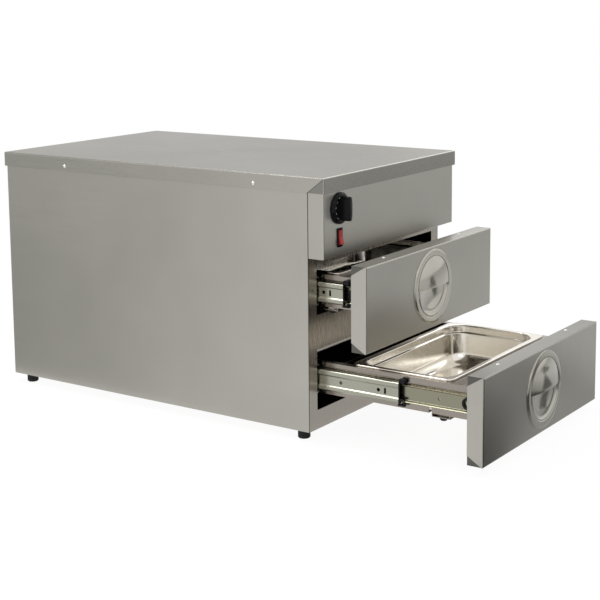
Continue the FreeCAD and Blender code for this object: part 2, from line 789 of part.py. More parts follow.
def handle_cup(level):
    """Round finger pull: a raised ring, a bowl, and a hood over the bowl's upper half."""
    centre = handle_centre(level)

    def turned(section, degrees):
        """Solid turned upwards about the handle's axis from a section of (radius, stand-out)."""
        points = [centre + Vector(radius, -stand_out, 0) for radius, stand_out in section]
        face = Part.Face(Part.makePolygon(points + points[:1]))
        return face.revolve(centre, Vector(0, -1, 0), degrees)

    edge, wall, slant = (math.radians(slope) for slope in
                         (handle_edge_slope, handle_bowl_slope, hood_slope))
    floor = handle_proud - handle_bowl_depth
    floor_radius = handle_bowl_radius - handle_bowl_depth / math.tan(wall)
    back = floor - handle_sheet
    back_radius = floor_radius + handle_sheet * math.tan(wall / 2)
    cup = turned([(handle_radius, 0), (handle_radius - handle_proud / math.tan(edge), handle_proud),
                  (handle_bowl_radius, handle_proud), (floor_radius, floor), (0, floor), (0, back),
                  (back_radius, back), (back_radius - back / math.tan(wall), 0)], 360)
    crown = handle_proud + hood_rise
    root = handle_bowl_radius + hood_lap
    crown_radius = root - hood_rise / math.tan(slant)
    under_radius = crown_radius - handle_sheet * math.tan(slant / 2)
    hood = turned([(root, handle_proud), (crown_radius, crown), (0, crown),
                   (0, crown - handle_sheet), (under_radius, crown - handle_sheet),
                   (root - handle_sheet / math.sin(slant), handle_proud)], 180)
    return fused([cup, hood])


def pan_well(inset):
    """Tapered well hanging from z = 0 about the Z axis, with a bevelled floor edge."""
    half_x, half_y = pan_length / 2 - pan_rim - inset, pan_width / 2 - pan_rim - inset
    corner = pan_corner - inset
    floor = inset - pan_depth
    levels = [(floor, pan_taper + pan_floor_bevel), (floor + pan_floor_bevel, pan_taper), (0, 0)]
    rings = [faceted_outline(half_x - narrower, half_y - narrower, corner - narrower, z)
             for z, narrower in levels]
    return fused([frustum(low, high) for low, high in zip(rings, rings[1:])])


def pan(level):
    """One-third gastronorm pan hung by its turned-down rim."""
    def slab(inset, low, high):
        """Slab inside the rim's outline."""
        ends = [faceted_outline(pan_length / 2 - inset, pan_width / 2 - inset,
                                pan_rim_corner - inset, z) for z in (low, high)]
        return frustum(*ends)

    rim = slab(0, -pan_rim_skirt, 0).cut(slab(pan_sheet, -pan_rim_skirt, -pan_sheet))
    hung = fused([rim, pan_well(0)]).cut(pan_well(pan_sheet))
    hung.translate(Vector(0, pan_setback + pan_width / 2, front_bottom[level] + pan_rim_height))
    return hung


def drawer_frame(level):
    """Open frame for the pans: two channels, a front and a rear crossbar, two stop brackets."""
    bottom = front_bottom[level] + frame_bottom
    top = front_bottom[level] + rim_underside
    outer = slide_face
    moves = [("run", frame_flange), ("fold", 90), ("run", top - bottom - frame_sheet),
             ("fold", 90), ("run", frame_flange)]
    start = (outer - frame_sheet / 2 - frame_flange, bottom + frame_sheet / 2)
    section = bent_sheet(start, 0, moves, frame_sheet, in_xz(front_depth))
    channel = section.extrude(Vector(0, frame_rear - front_depth, 0))
    slit = block((0, 2 * outer), (frame_slit_y, frame_slit_y + frame_slit),
                 (bottom - 1, front_bottom[level] + slide_height - slide_half_height / 2))
    channel = fused([channel.cut(slit), stop_bracket(bottom, outer)])
    inner = outer - frame_sheet
    bars = []
    for near, far in ((front_depth, pan_setback + pan_rim), (frame_rear, frame_rear - frame_end)):
        step = math.copysign(frame_sheet, far - near)
        bars.append(block((-inner, inner), (near, far), (top - frame_sheet, top)))
        bars.append(block((-inner, inner), (near, near + step), (bottom, top)))
    return fused([channel, mirrored(channel)] + bars)


def stop_bracket(bottom, outer):
    """Folded bracket welded under a channel for the rubber stop."""
    across = (outer - bracket_width, outer)
    along = (bracket_y, bracket_y + bracket_length)
    low = bottom - bracket_drop
    box = block(across, along, (low, bottom + frame_sheet))
    room = block(across, (along[0] + frame_sheet, along[1] - frame_sheet),
                 (low + frame_sheet, bottom + frame_sheet))
    return box.cut(room)


def stop_buffers(level):
    """Rubber stops under the two brackets."""
    top = front_bottom[level] + frame_bottom - bracket_drop
    y = bracket_y + bracket_length / 2
    x = slide_face - bracket_width / 2
    half = buffer_size / 2
    return Part.makeCompound([block((side * x - half, side * x + half), (y - half, y + half),
                                    (top - buffer_height, top)) for side in (-1, 1)])


# ------------------------------------------------------------------ telescopic slides
def slide_place(level, side, y):
    """Puts a slide section's (distance from the liner, height) in space."""
    centre_z = front_bottom[level] + slide_height
    return lambda p: Vector(side * (opening_half - p.x), y, centre_z + p.y)


def race_start(depth, height, wrap_start):
    """Point on a race's middle line, and the heading there when running round it leftwards."""
    angle = math.radians(wrap_start)
    return (depth + race_radius * math.cos(angle), height + race_radius * math.sin(angle))


def cabinet_member(level, side):
    """Outer channel of a slide, fixed to the liner; its lips hold the outer balls."""
    wrap_start = 90 - lip_wrap
    flange = outer_ball_depth - slide_sheet / 2
    moves = [("bend", race_radius, lip_wrap), ("run", flange), ("fold", 90),
             ("run", 2 * slide_half_height - slide_sheet), ("fold", 90), ("run", flange),
             ("bend", race_radius, lip_wrap)]
    start_y = frame_face + cabinet_member_setback
    section = bent_sheet(race_start(outer_ball_depth, outer_ball_height, wrap_start),
                         wrap_start + 90, moves, slide_sheet, slide_place(level, side, start_y))
    return section.extrude(Vector(0, slide_length, 0))


def middle_member(level, side):
    """Middle channel of a slide, with a ribbed web, fixing holes and a slot."""
    wrap_start = 90 - lip_wrap
    flange_height = inner_ball_height + race_radius
    flange = inner_ball_depth - middle_web_depth
    band = flange_height - middle_rib_half_height
    slope = middle_rib_step / math.sin(math.radians(rib_bend))
    reach = slope * math.cos(math.radians(rib_bend))
    moves = [("bend", race_radius, lip_wrap), ("run", flange), ("fold", 90),
             ("run", band), ("fold", rib_bend), ("run", slope), ("fold", -rib_bend),
             ("run", 2 * (middle_rib_half_height - reach)), ("fold", -rib_bend),
             ("run", slope), ("fold", rib_bend), ("run", band), ("fold", 90),
             ("run", flange), ("bend", race_radius, lip_wrap)]
    start_y = frame_face + cabinet_member_setback - middle_lead
    section = bent_sheet(race_start(inner_ball_depth, inner_ball_height, wrap_start),
                         wrap_start + 90, moves, slide_sheet, slide_place(level, side, start_y))
    member = section.extrude(Vector(0, slide_length, 0))
    centre_z = front_bottom[level] + slide_height
    web_x = (side * opening_half, side * slide_face)
    for y in web_holes:
        member = member.cut(hexagon_bar(Vector(web_x[1], start_y + y, centre_z),
                                        Vector(side, 0, 0), web_hole_radius, slide_thickness))
    window = block(web_x, (start_y + web_slot_y, start_y + web_slot_y + web_slot_width),
                   (centre_z - web_slot_height / 2, centre_z + web_slot_height / 2))
    return member.cut(window)


def drawer_member(level, side):
    """Inner channel of a slide, fixed to the drawer's frame and open towards the liner."""
    flange_height = inner_ball_height - race_radius
    flange = slide_thickness - slide_sheet / 2 - inner_ball_depth
    end = math.radians(270 - lip_wrap)
    start = (inner_ball_depth + race_radius * math.cos(end),
             inner_ball_height + race_radius * math.sin(end))
    moves = [("bend", race_radius, lip_wrap), ("run", flange), ("fold", -90),
             ("run", 2 * flange_height), ("fold", -90), ("run", flange),
             ("bend", race_radius, lip_wrap)]
    start_y = front_depth + drawer_member_setback
    section = bent_sheet(start, 360 - lip_wrap, moves, slide_sheet,
                         slide_place(level, side, start_y))
    return section.extrude(Vector(0, slide_length, 0))


def ball(centre):
    """Ball of a slide, turned with three bands so that it has few faces."""
    waist, cap = ball_radius, ball_radius * math.sin(math.radians(45))
    rings = []
    for radius, height in ((cap, -cap), (waist, 0), (cap, cap)):
        corners = [centre + Vector(radius * math.cos(math.radians(60 * number)),
                                   radius * math.sin(math.radians(60 * number)), height)
                   for number in range(7)]
        rings.append(Part.makePolygon(corners))
    return Part.makeLoft(rings, True, True)


def ball_cage(level, side, ball_depth, ball_height, web_depth, start_y):
    """Thin strip that spaces the two rows of balls, and the balls held in it."""
    flange = ball_depth + cage_edge - web_depth
    moves = [("run", flange), ("fold", 90), ("run", 2 * ball_height), ("fold", 90),
             ("run", flange)]
    place = slide_place(level, side, start_y)
    section = bent_sheet((ball_depth + cage_edge, ball_height), 180, moves, cage_sheet, place)
    strip = section.extrude(Vector(0, cage_length, 0))
    pitch = cage_length / balls_per_row
    balls = [ball(place(Vector(ball_depth, row * ball_height, 0))
                  + Vector(0, pitch * (number + 0.5), 0))
             for row in (-1, 1) for number in range(balls_per_row)]
    return fused([strip] + balls)


def outer_cage(level, side):
    """Ball cage between the cabinet member and the middle member."""
    start_y = frame_face + cabinet_member_setback + slide_length / 4 + sheet_land
    return ball_cage(level, side, outer_ball_depth, outer_ball_height, cage_web_depth, start_y)


def inner_cage(level, side):
    """Ball cage between the middle member and the drawer member."""
    start_y = frame_face + cabinet_member_setback - middle_lead + slide_length / 4 + 2 * sheet_land
    return ball_cage(level, side, inner_ball_depth, inner_ball_height, inner_cage_web_depth,
                     start_y)


# ------------------------------------------------------------------ assembly
def save(node, shape, pulled_out=0.0):
    """Writes one sub-part, moved out with its drawer and into the assembly's own frame."""
    moved = shape.copy()
    moved.translate(Vector(0, -pulled_out - rest_middle_y, 0))
    moved.exportStep("parts/" + node + ".step")


def save_cabinet():
    """Everything that stays with the casing."""
    save("left_side_panel", side_panel(-1))
    save("right_side_panel", side_panel(1))
    save("rear_panel", rear_panel())
    save("base_panel", base_panel())
    save("top_cover", top_cover())
    save("control_fascia", control_fascia())
    save("front_frame", front_frame())
    save("divider_rail", divider_rail())
    save("feet", casing_feet())
    save("cabinet_screws", cabinet_screws())
    save("chamber_liner", chamber_liner())
    save("chamber_floor", chamber_floor())
    save("rear_liner", rear_liner())
    save("insulation_slabs", insulation_slabs())
    save("upper_heating_element", heating_element(upper_element_bottom))
    save("lower_heating_element", heating_element(lower_element_bottom))
    save("element_supports", element_supports())
    save("thermostat_body", thermostat_body())
    save("thermostat_bulb", thermostat_bulb())
    save("switch_housing", switch_housing())
    save("terminal_block", terminal_block())
    save("cable_gland", cable_gland())


def save_controls():
    """The dial with its spindle, and the rocker."""
    save("thermostat_spindle", thermostat_spindle())
    save("dial_knob", dial_knob())
    save("switch_rocker", switch_rocker())


def save_drawer(level):
    """One drawer with its slides."""
    out = opening[level]
    save(level + "_drawer_front", drawer_front(level), out)
    save(level + "_front_lining", front_lining(level), out)
    save(level + "_front_screws", front_screws(level), out)
    save(level + "_handle_cup", handle_cup(level), out)
    save(level + "_drawer_frame", drawer_frame(level), out)
    save(level + "_stop_buffers", stop_buffers(level), out)
    save(level + "_pan", pan(level), out)
    for name, side in (("left", -1), ("right", 1)):
        slide = level + "_" + name
        save(slide + "_cabinet_rail", cabinet_member(level, side))
        save(slide + "_outer_cage", outer_cage(level, side), out / 4)
        save(slide + "_middle_rail", middle_member(level, side), out / 2)
        save(slide + "_inner_cage", inner_cage(level, side), out * 3 / 4)
        save(slide + "_drawer_rail", drawer_member(level, side), out)


os.makedirs("parts", exist_ok=True)
save_cabinet()
save_controls()
for drawer_level in opening:
    save_drawer(drawer_level)
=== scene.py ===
"""Dressing for a heated countertop cabinet with two pan drawers on ball-bearing slides."""

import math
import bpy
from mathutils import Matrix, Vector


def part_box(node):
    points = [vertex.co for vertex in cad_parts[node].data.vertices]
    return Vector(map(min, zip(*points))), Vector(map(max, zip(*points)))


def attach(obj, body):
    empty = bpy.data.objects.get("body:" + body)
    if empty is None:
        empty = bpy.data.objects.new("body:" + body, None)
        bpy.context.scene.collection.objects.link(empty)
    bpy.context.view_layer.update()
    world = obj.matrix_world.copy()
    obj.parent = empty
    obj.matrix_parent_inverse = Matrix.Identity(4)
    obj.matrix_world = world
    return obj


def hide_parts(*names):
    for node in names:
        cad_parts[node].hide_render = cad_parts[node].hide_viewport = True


bl_info = {
    "name": "Heated Drawer Cabinet",
    "version": (1, 0, 0),
    "blender": (4, 5, 0),
    "location": "View3D > Sidebar > Cabinet",
    "description": "Pans, pulls, slides, controls and finishes of a two-drawer heated cabinet",
    "category": "Object",
}

import bmesh
import bpy
from bpy.props import FloatProperty, FloatVectorProperty, IntProperty, PointerProperty
from mathutils import Matrix, Vector

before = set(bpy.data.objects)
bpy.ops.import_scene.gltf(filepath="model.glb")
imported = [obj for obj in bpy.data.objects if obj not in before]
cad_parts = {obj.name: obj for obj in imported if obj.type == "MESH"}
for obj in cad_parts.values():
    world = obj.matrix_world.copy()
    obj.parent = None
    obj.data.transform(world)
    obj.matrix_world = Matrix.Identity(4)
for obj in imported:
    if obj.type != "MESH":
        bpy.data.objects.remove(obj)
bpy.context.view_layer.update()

MM = 0.001
LEVELS = ("lower", "upper")
SIDES = {"left": -1, "right": 1}
RIGHT, FRONT, REAR, UP = (Vector(way) for way in ((1, 0, 0), (0, -1, 0), (0, 1, 0), (0, 0, 1)))
WHITE = (1.0, 1.0, 1.0, 1.0)
EVEN = (1.0, 1.0, 1.0)          # grain that isn't drawn out

# Planes of the sheet metal, where bends, seams, tabs and flanges get painted shade, and the lid's
# front bend a painted highlight
TAB_SIDE = 203.8 * MM           # folded tabs of the fronts, from the middle
CASING_SIDE = 205.0 * MM        # outer faces of the side panels
SEAM = -179.5 * MM              # front edges of the side panels
LID_FRONT = -211.5 * MM         # front face of the lid's lip
LID_SIDE = 208 * MM             # outer faces of the lid's side lips
LID_TOP = 420 * MM              # upper face of the lid
LIP_FOOT = 395.0 * MM           # lower edge of the lid's lips
GUSSET_SIDE = 206.5 * MM        # corner plates behind the lid's mitred lips
GUSSET_REACH = 33 * MM          # how far those plates reach behind the lid's front
FLANGE_SHADES = {"lower": 0.62, "upper": 0.9}    # painted shade on the upper flanges of the fronts


# --- settings
def colour(name, description, default):
    """Colour setting."""
    return FloatVectorProperty(name=name, description=description, default=default,
                               subtype="COLOR", size=3, min=0.0, max=1.0)


def length(name, description, default):
    """Length setting, given in millimetres."""
    return FloatProperty(name=name, description=description, default=default * MM, min=0.0,
                         subtype="DISTANCE", unit="LENGTH", precision=5)


def number(name, description, default, most):
    """Setting for a number of copies."""
    return IntProperty(name=name, description=description, default=default, min=2, max=most)


class CabinetFinishes(bpy.types.PropertyGroup):
    """Colours of the cabinet's metals and plastics."""
    casing: colour("Casing", "Brushed stainless sheet of the casing and the fronts",
                   (0.427, 0.415, 0.374))
    bright: colour("Bright sheet", "Bright annealed sheet round the openings",
                   (0.40, 0.37, 0.325))
    pan: colour("Pan", "Polished stainless steel of the pans", (0.80, 0.765, 0.70))
    pull: colour("Pull", "Satin pressed steel of the round pulls", (0.44, 0.425, 0.375))
    zinc: colour("Zinc", "Zinc plating of the slides", (0.36, 0.36, 0.30))
    # Painted shade: the lining is coloured near black for the shade deep inside the chamber.
    chamber: colour("Chamber", "Lining of the chamber, painted near black as shade", (0.028, 0.028, 0.03))
    plastic: colour("Plastic", "Black moulded plastic", (0.005, 0.005, 0.006))
    rocker: colour("Rocker", "Translucent red plastic of the switch", (0.33, 0.014, 0.012))


class PullSizes(bpy.types.PropertyGroup):
    """Sizes of the round finger pulls."""
    radius: length("Radius", "Outer radius of the ring", 61.5)
    proud: length("Stand-out", "How far the ring stands out from the front", 2.0)
    bowl_radius: length("Bowl radius", "Radius of the bowl's mouth", 46.0)
    bowl_depth: length("Bowl depth", "Depth of the bowl below the ring", 7.5)
    hood_rise: length("Hood rise", "How far the hood bulges over the ring", 7.0)
    sheet: length("Sheet", "Thickness of the pressed sheet", 1.1)


class PanSizes(bpy.types.PropertyGroup):
    """Sizes of the pans."""
    rim: length("Rim", "Width of the rim", 9.5)
    rim_corner: length("Rim corner", "Corner radius of the rim", 11.0)
    well_corner: length("Well corner", "Corner radius of the well", 34.0)
    shoulder: length("Shoulder", "Depth of the stacking shoulder below the rim", 12.0)
    floor_round: length("Floor radius", "Radius between the walls and the floor", 20.0)
    sheet: length("Sheet", "Thickness of the sheet", 0.8)


class SlideSizes(bpy.types.PropertyGroup):
    """Sizes of the telescopic slides."""
    sheet: length("Sheet", "Thickness of the rails", 1.2)
    cage_sheet: length("Cage sheet", "Thickness of the ball cages", 0.4)
    ball: length("Ball", "Radius of a ball", 1.6)
    balls: number("Balls", "Balls in each row of a cage", 16, 40)
    hole: length("Hole", "Radius of the fixing holes", 2.9)


class DialSizes(bpy.types.PropertyGroup):
    """Sizes of the dial."""
    marks: number("Marks", "Scale marks round the skirt", 11, 60)
    mark_width: length("Mark width", "Width of a scale mark", 1.5)
    mark_length: length("Mark length", "Length of a scale mark", 3.0)


class ScrewSizes(bpy.types.PropertyGroup):
    """Sizes of the screws."""
    head: length("Head", "Radius of a screw's domed head", 3.4)
    rise: length("Rise", "Height of a screw's domed head", 1.9)
    slot: length("Slot", "Width of the cross recess", 0.8)


class StudioSettings(bpy.types.PropertyGroup):
    """Light and backdrop."""
    white: FloatProperty(name="Backdrop", description="Level of the white backdrop",
                         default=1.0, min=0.0, max=1.0)
    fill: FloatProperty(name="Fill", description="Level of the light from all round",
                        default=0.75, min=0.0, max=2.0)
    key: FloatProperty(name="Key", description="Power of the large soft lamp overhead",
                       default=14.0, min=0.0, unit="POWER")


class CabinetSettings(bpy.types.PropertyGroup):
    """Everything that a user would change."""
    finishes: PointerProperty(type=CabinetFinishes)
    pull: PointerProperty(type=PullSizes)
    pan: PointerProperty(type=PanSizes)
    slide: PointerProperty(type=SlideSizes)
    dial: PointerProperty(type=DialSizes)
    screw: PointerProperty(type=ScrewSizes)
    studio: PointerProperty(type=StudioSettings)


def settings():
    """The cabinet's settings in this scene."""
    return bpy.context.scene.heated_cabinet


# --- nodes and materials
def add(tree, kind, *numbered, **named):
    """New node; names in small letters are its modes, the rest its inputs or their links."""
    node = tree.nodes.new(kind)
    for name in [name for name in named if name.islower()]:
        setattr(node, name, named.pop(name))
    for key, value in [*enumerate(numbered), *named.items()]:
        socket = node.inputs[key.replace("_", " ") if isinstance(key, str) else key]
        if isinstance(value, bpy.types.NodeSocket):
            tree.links.new(value, socket)
        else:
            socket.default_value = value
    return node


def shader(name, base, metallic, roughness, **inputs):
    """New material and its tree; inputs are further levels of its Principled shader."""
    material = bpy.data.materials.new(name)
    material.use_nodes = True
    tree = material.node_tree
    levels = {"Base Color": (*base, 1.0), "Metallic": metallic, "Roughness": roughness, **inputs}
    for key, value in levels.items():
        tree.nodes["Principled BSDF"].inputs[key.replace("_", " ")].default_value = value
    return material, tree


def grain(tree, stretch, scale, detail=4.0):
    """Noise drawn out along one axis of the piece."""
    place = add(tree, "ShaderNodeTexCoord")
    mapping = add(tree, "ShaderNodeMapping", Vector=place.outputs["Object"], Scale=stretch)
    noise = add(tree, "ShaderNodeTexNoise", Vector=mapping.outputs["Vector"], Scale=scale,
                Detail=detail)
    return noise.outputs["Fac"]


def ranged(tree, noise, low, high):
    """Maps the middle of a noise's values to a range."""
    return add(tree, "ShaderNodeMapRange", Value=noise, From_Min=0.3, From_Max=0.7,
               To_Min=low, To_Max=high).outputs["Result"]


def dressed(material, tint, relief, rough=None):
    """Tint and roughness as (noise, low, high), and fine relief as (noise, strength, depth)."""
    tree = material.node_tree
    inputs = tree.nodes["Principled BSDF"].inputs
    noise, low, high = tint
    base = inputs["Base Color"].default_value[:3]
    mix = add(tree, "ShaderNodeMix", data_type="RGBA", Factor=ranged(tree, noise, 0.0, 1.0),
              A=(*(c * low for c in base), 1.0), B=(*(min(1.0, c * high) for c in base), 1.0))
    tree.links.new(mix.outputs["Result"], inputs["Base Color"])
    if rough:
        tree.links.new(ranged(tree, *rough), inputs["Roughness"])
    noise, strength, depth = relief
    bump = add(tree, "ShaderNodeBump", Height=noise, Strength=strength, Distance=depth)
    tree.links.new(bump.outputs["Normal"], inputs["Normal"])
    return material


def brushed_steel(name, base, roughness, along, edge=0.9):
    """Sheet with fine brushing along one axis; edge is its tint at a glancing view."""
    material, tree = shader(name, base, 1.0, roughness, Specular_Tint=(edge, edge, edge, 1.0),
                            Anisotropic=0.35)
    lines = grain(tree, [0.012 if axis == along else 1.0 for axis in range(3)], 900.0)
    clouds = grain(tree, EVEN, 7.0, 2.0)
    return dressed(material, (clouds, 0.965, 1.035), (lines, 0.05, 0.0002),
                   (lines, roughness - 0.05, roughness + 0.05))


def paint_light_band(material, tone, *bands):
    """Paints shade (tone below 1) or a highlight (tone above 1) into the colour where all bands
    (axis, middle, half width) meet; X has no sign.
    """
    tree = material.node_tree
    base = tree.nodes["Principled BSDF"].inputs["Base Color"]
    place = add(tree, "ShaderNodeTexCoord")
    parts = add(tree, "ShaderNodeSeparateXYZ", place.outputs["Object"])
    mask = 1.0
    for axis, middle, half in bands:
        value = parts.outputs[axis]
        if axis == "X":
            value = add(tree, "ShaderNodeMath", value, operation="ABSOLUTE").outputs["Value"]
        near = add(tree, "ShaderNodeMath", value, middle, half, operation="COMPARE")
        mask = add(tree, "ShaderNodeMath", mask, near.outputs["Value"],
                   operation="MULTIPLY").outputs["Value"]
    mix = add(tree, "ShaderNodeMix", data_type="RGBA", blend_type="MULTIPLY", Factor=mask,
              A=base.links[0].from_socket, B=(tone, tone, tone, 1.0))
    tree.links.new(mix.outputs["Result"], base)


def smooth_steel(name, base, roughness, waviness):
    """Bright sheet whose reflections waver a little."""
    material, tree = shader(name, base, 1.0, roughness)
    waves = grain(tree, EVEN, 14.0, 1.5)
    haze = grain(tree, EVEN, 160.0, 3.0)
    return dressed(material, (waves, 0.93, 1.05), (waves, waviness, 0.004),
                   (haze, roughness * 0.75, roughness * 1.3))


def moulded(name, base, roughness, texture=1500.0, strength=0.15, gleam=0.2, **inputs):
    """Moulded plastic or rubber with a fine grain."""
    material, tree = shader(name, base, 0.0, roughness, Specular_IOR_Level=gleam, **inputs)
    skin = grain(tree, EVEN, texture, 3.0)
    clouds = grain(tree, EVEN, 60.0, 2.0)
    return dressed(material, (clouds, 0.85, 1.2), (skin, strength, 0.0001),
                   (skin, roughness - 0.06, roughness + 0.08))


def wool(name, base):
    """Mineral wool."""
    material, tree = shader(name, base, 0.0, 0.95)
    fibres = grain(tree, (1.0, 0.25, 1.0), 420.0, 6.0)
    return dressed(material, (fibres, 0.7, 1.2), (fibres, 0.6, 0.002))


MATERIALS = {}
YELLOW_ZINC_AND_SHADE = (0.72, 0.70, 0.62)  # share of the zinc's colour that the inner rails keep: a yellower plating, and painted shade for their place behind the middle rails


def make_materials():
    """Every finish, made once."""
    tones = settings().finishes
    casing = brushed_steel("brushed casing sheet", tones.casing, 0.34, 1)
    # Painted shade: a dark line in the seam along the side panels' front edges.
    paint_light_band(casing, 0.3, ("Y", SEAM, 0.8 * MM))
    # Painted shade: a fine dark line on the side panels just under the lid's lips.
    paint_light_band(casing, 0.6, ("Z", LIP_FOOT, 0.7 * MM), ("X", CASING_SIDE, 0.4 * MM))
    # Painted shade on the lid's top: the casing's colour made 6% darker, and a dimmer tint at a
    # glancing view.
    lid = brushed_steel("brushed lid sheet", [0.94 * c for c in tones.casing], 0.30, 1, 0.70)
    # Painted shade on the front face of the lid's lip.
    paint_light_band(lid, 0.76, ("Y", LID_FRONT, 0.8 * MM))
    # Painted shade on the corner plates in the recess behind the lid's mitred lips.
    paint_light_band(lid, 0.58, ("X", GUSSET_SIDE, 0.4 * MM), ("Y", LID_FRONT, GUSSET_REACH))
    # Painted shade on the top bend of the lid's side lips, dimming its highlight.
    paint_light_band(lid, 0.4, ("X", LID_SIDE, 0.8 * MM), ("Z", LID_TOP, 1.2 * MM))
    # Painted highlight along the lid's front top bend.
    paint_light_band(lid, 2.0, ("Y", LID_FRONT, 1.2 * MM), ("Z", LID_TOP, 1.2 * MM))
    front = brushed_steel("brushed front sheet", tones.casing, 0.33, 2)
    # Painted shade on the fronts' folded tabs.
    paint_light_band(front, 0.28, ("X", TAB_SIDE, 0.4 * MM))
    # Painted shade on the fronts' upper flanges.
    for level, tone in FLANGE_SHADES.items():
        paint_light_band(front, tone, ("Z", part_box(level + "_drawer_front")[1].z, 0.5 * MM))
    # The inner rails' colour is a yellower plating, with painted shade for their recessed place.
    yellow_shaded_zinc = [share * c for share, c in zip(YELLOW_ZINC_AND_SHADE, tones.zinc)]
    MATERIALS.update({
        "casing": casing, "front": front, "lid": lid,
        "bright": brushed_steel("bright annealed sheet", tones.bright, 0.28, 2),
        "carrier": smooth_steel("carrier sheet", (0.30, 0.27, 0.24), 0.22, 0.10),
        "pan": smooth_steel("polished pan", tones.pan, 0.15, 0.10),
        "pull": smooth_steel("satin pull", tones.pull, 0.13, 0.02),
        "zinc": brushed_steel("zinc plated rail", tones.zinc, 0.24, 1),
        "inner_zinc": brushed_steel("yellow zinc plated rail, with painted shade", yellow_shaded_zinc, 0.22, 1),
        "cage": smooth_steel("rolled cage strip", (0.12, 0.12, 0.11), 0.3, 0.05),
        "screw": smooth_steel("bright zinc screw", (0.75, 0.75, 0.73), 0.2, 0.0),
        # The chamber's near-black colour is painted shade.
        "chamber": smooth_steel("chamber lining in painted shade", tones.chamber, 0.42, 0.08),
        "heater": smooth_steel("heater sheath", (0.16, 0.15, 0.14), 0.45, 0.05),
        "copper": smooth_steel("copper bulb", (0.72, 0.42, 0.28), 0.25, 0.03),
        "plastic": moulded("black moulded plastic", tones.plastic, 0.36),
        "satin_plastic": moulded("black satin plastic", tones.plastic, 0.17, 900.0, 0.05, 0.11),
        "rubber": moulded("black rubber", (0.014, 0.014, 0.014), 0.6, 900.0, 0.25),
        "red": moulded("red rocker plastic", tones.rocker, 0.22, 700.0, 0.03, Coat_Weight=0.15,
                       Subsurface_Weight=0.15, Subsurface_Radius=(0.004, 0.0006, 0.0004)),
        "mark": moulded("white dial print", (0.75, 0.75, 0.73), 0.5),
        "terminal": moulded("white terminal resin", (0.72, 0.71, 0.67), 0.4),
        "wool": wool("mineral wool", (0.42, 0.36, 0.22)),
    })


# --- mesh helpers
def linked(name, data):
    """New object of the scene."""
    item = bpy.data.objects.new(name, data)
    bpy.context.collection.objects.link(item)
    return item


def shown(name, mesh, finish, body, node, degrees=32.0):
    """Makes a mesh a piece that rides on a body; node is the CAD solid that it stands for."""
    for polygon in mesh.polygons:
        polygon.use_smooth = True
    mesh.set_sharp_from_angle(angle=math.radians(degrees))
    mesh.materials.clear()
    mesh.materials.append(MATERIALS[finish])
    piece = linked(name, mesh)
    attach(piece, body)
    if node:
        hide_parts(node)
    return piece


def baked(name, bm):
    """Mesh from a bmesh."""
    mesh = bpy.data.meshes.new(name)
    bm.to_mesh(mesh)
    bm.free()
    return mesh


def as_mesh(name, bm):
    """Closes a bmesh into a mesh whose faces point outwards."""
    bmesh.ops.remove_doubles(bm, verts=bm.verts, dist=1e-6)
    bmesh.ops.recalc_face_normals(bm, faces=bm.faces)
    return baked(name, bm)


def merged(name, meshes):
    """One mesh from several."""
    bm = bmesh.new()
    for mesh in meshes:
        bm.from_mesh(mesh)
    return baked(name, bm)


def evaluated(item):
    """Mesh of an object with its modifiers applied."""
    view = bpy.context.evaluated_depsgraph_get()
    return bpy.data.meshes.new_from_object(item.evaluated_get(view))


def skinned(rings, close_ends=True):
    """Bmesh of faces between closed rings of points with equal counts."""
    bm = bmesh.new()
    rows = [[bm.verts.new(point) for point in ring] for ring in rings]
    count = len(rows[0])
    for near, far in zip(rows, rows[1:]):
        for number in range(count):
            after = (number + 1) % count
            bm.faces.new((near[number], near[after], far[after], far[number]))
    if close_ends:
        bm.faces.new(rows[0][::-1])
        bm.faces.new(rows[-1])
    return bm


def turned(name, profile, origin, out, steps, sweep=360.0):
    """Solid of a closed profile of (radius, height) turned about an axis."""
    across = REAR if out.x else RIGHT
    other = out.cross(across)
    rings = []
    for step in range(steps + 1):
        angle = math.radians(sweep) * step / steps
        radial = across * math.cos(angle) + other * math.sin(angle)
        rings.append([origin + radial * radius + out * height for radius, height in profile])
    bm = skinned(rings, close_ends=sweep < 360.0)
    bmesh.ops.remove_doubles(bm, verts=bm.verts, dist=1e-6)
    bmesh.ops.dissolve_degenerate(bm, edges=bm.edges, dist=1e-7)
    return as_mesh(name, bm)


def drawn(name, section, sweep):
    """Solid of a closed section swept in a straight line."""
    return as_mesh(name, skinned([section, [point + sweep for point in section]]))


def metres(points):
    """Points in mm as points in metres."""
    return [(x * MM, y * MM) for x, y in points]


def arc(centre, radius, start, end, steps=8):
    """Points of an arc in two dimensions; angles in degrees."""
    angles = [math.radians(start + (end - start) * step / steps) for step in range(steps + 1)]
    return [(centre[0] + radius * math.cos(a), centre[1] + radius * math.sin(a)) for a in angles]


def cap(base, rise, steps, foot=0.0):
    """Dome's outline from its foot to its top on the axis, in (radius, height)."""
    radius = (base ** 2 + rise ** 2) / (2 * rise)
    half = math.degrees(math.asin(base / radius))
    return arc((0.0, foot + rise - radius), radius, 90.0 - half, 90.0, steps)


def rounded(corners, steps=5):
    """Open path of (x, y, radius) corners with each corner rounded."""
    points = [corners[0][:2]]
    for before, corner, after in zip(corners, corners[1:], corners[2:]):
        here, radius = Vector(corner[:2]), corner[2]
        back = (Vector(before[:2]) - here).normalized()
        ahead = (Vector(after[:2]) - here).normalized()
        if radius <= 0 or back.dot(ahead) < -0.9999:
            points.append(tuple(here))
            continue
        half = back.angle(ahead) / 2
        centre = here + (back + ahead).normalized() * (radius / math.sin(half))
        start = here + back * (radius / math.tan(half)) - centre
        end = here + ahead * (radius / math.tan(half)) - centre
        for step in range(steps + 1):
            spoke = start.lerp(end, step / steps).normalized() * radius
            points.append(tuple(centre + spoke))
    points.append(corners[-1][:2])
    return points


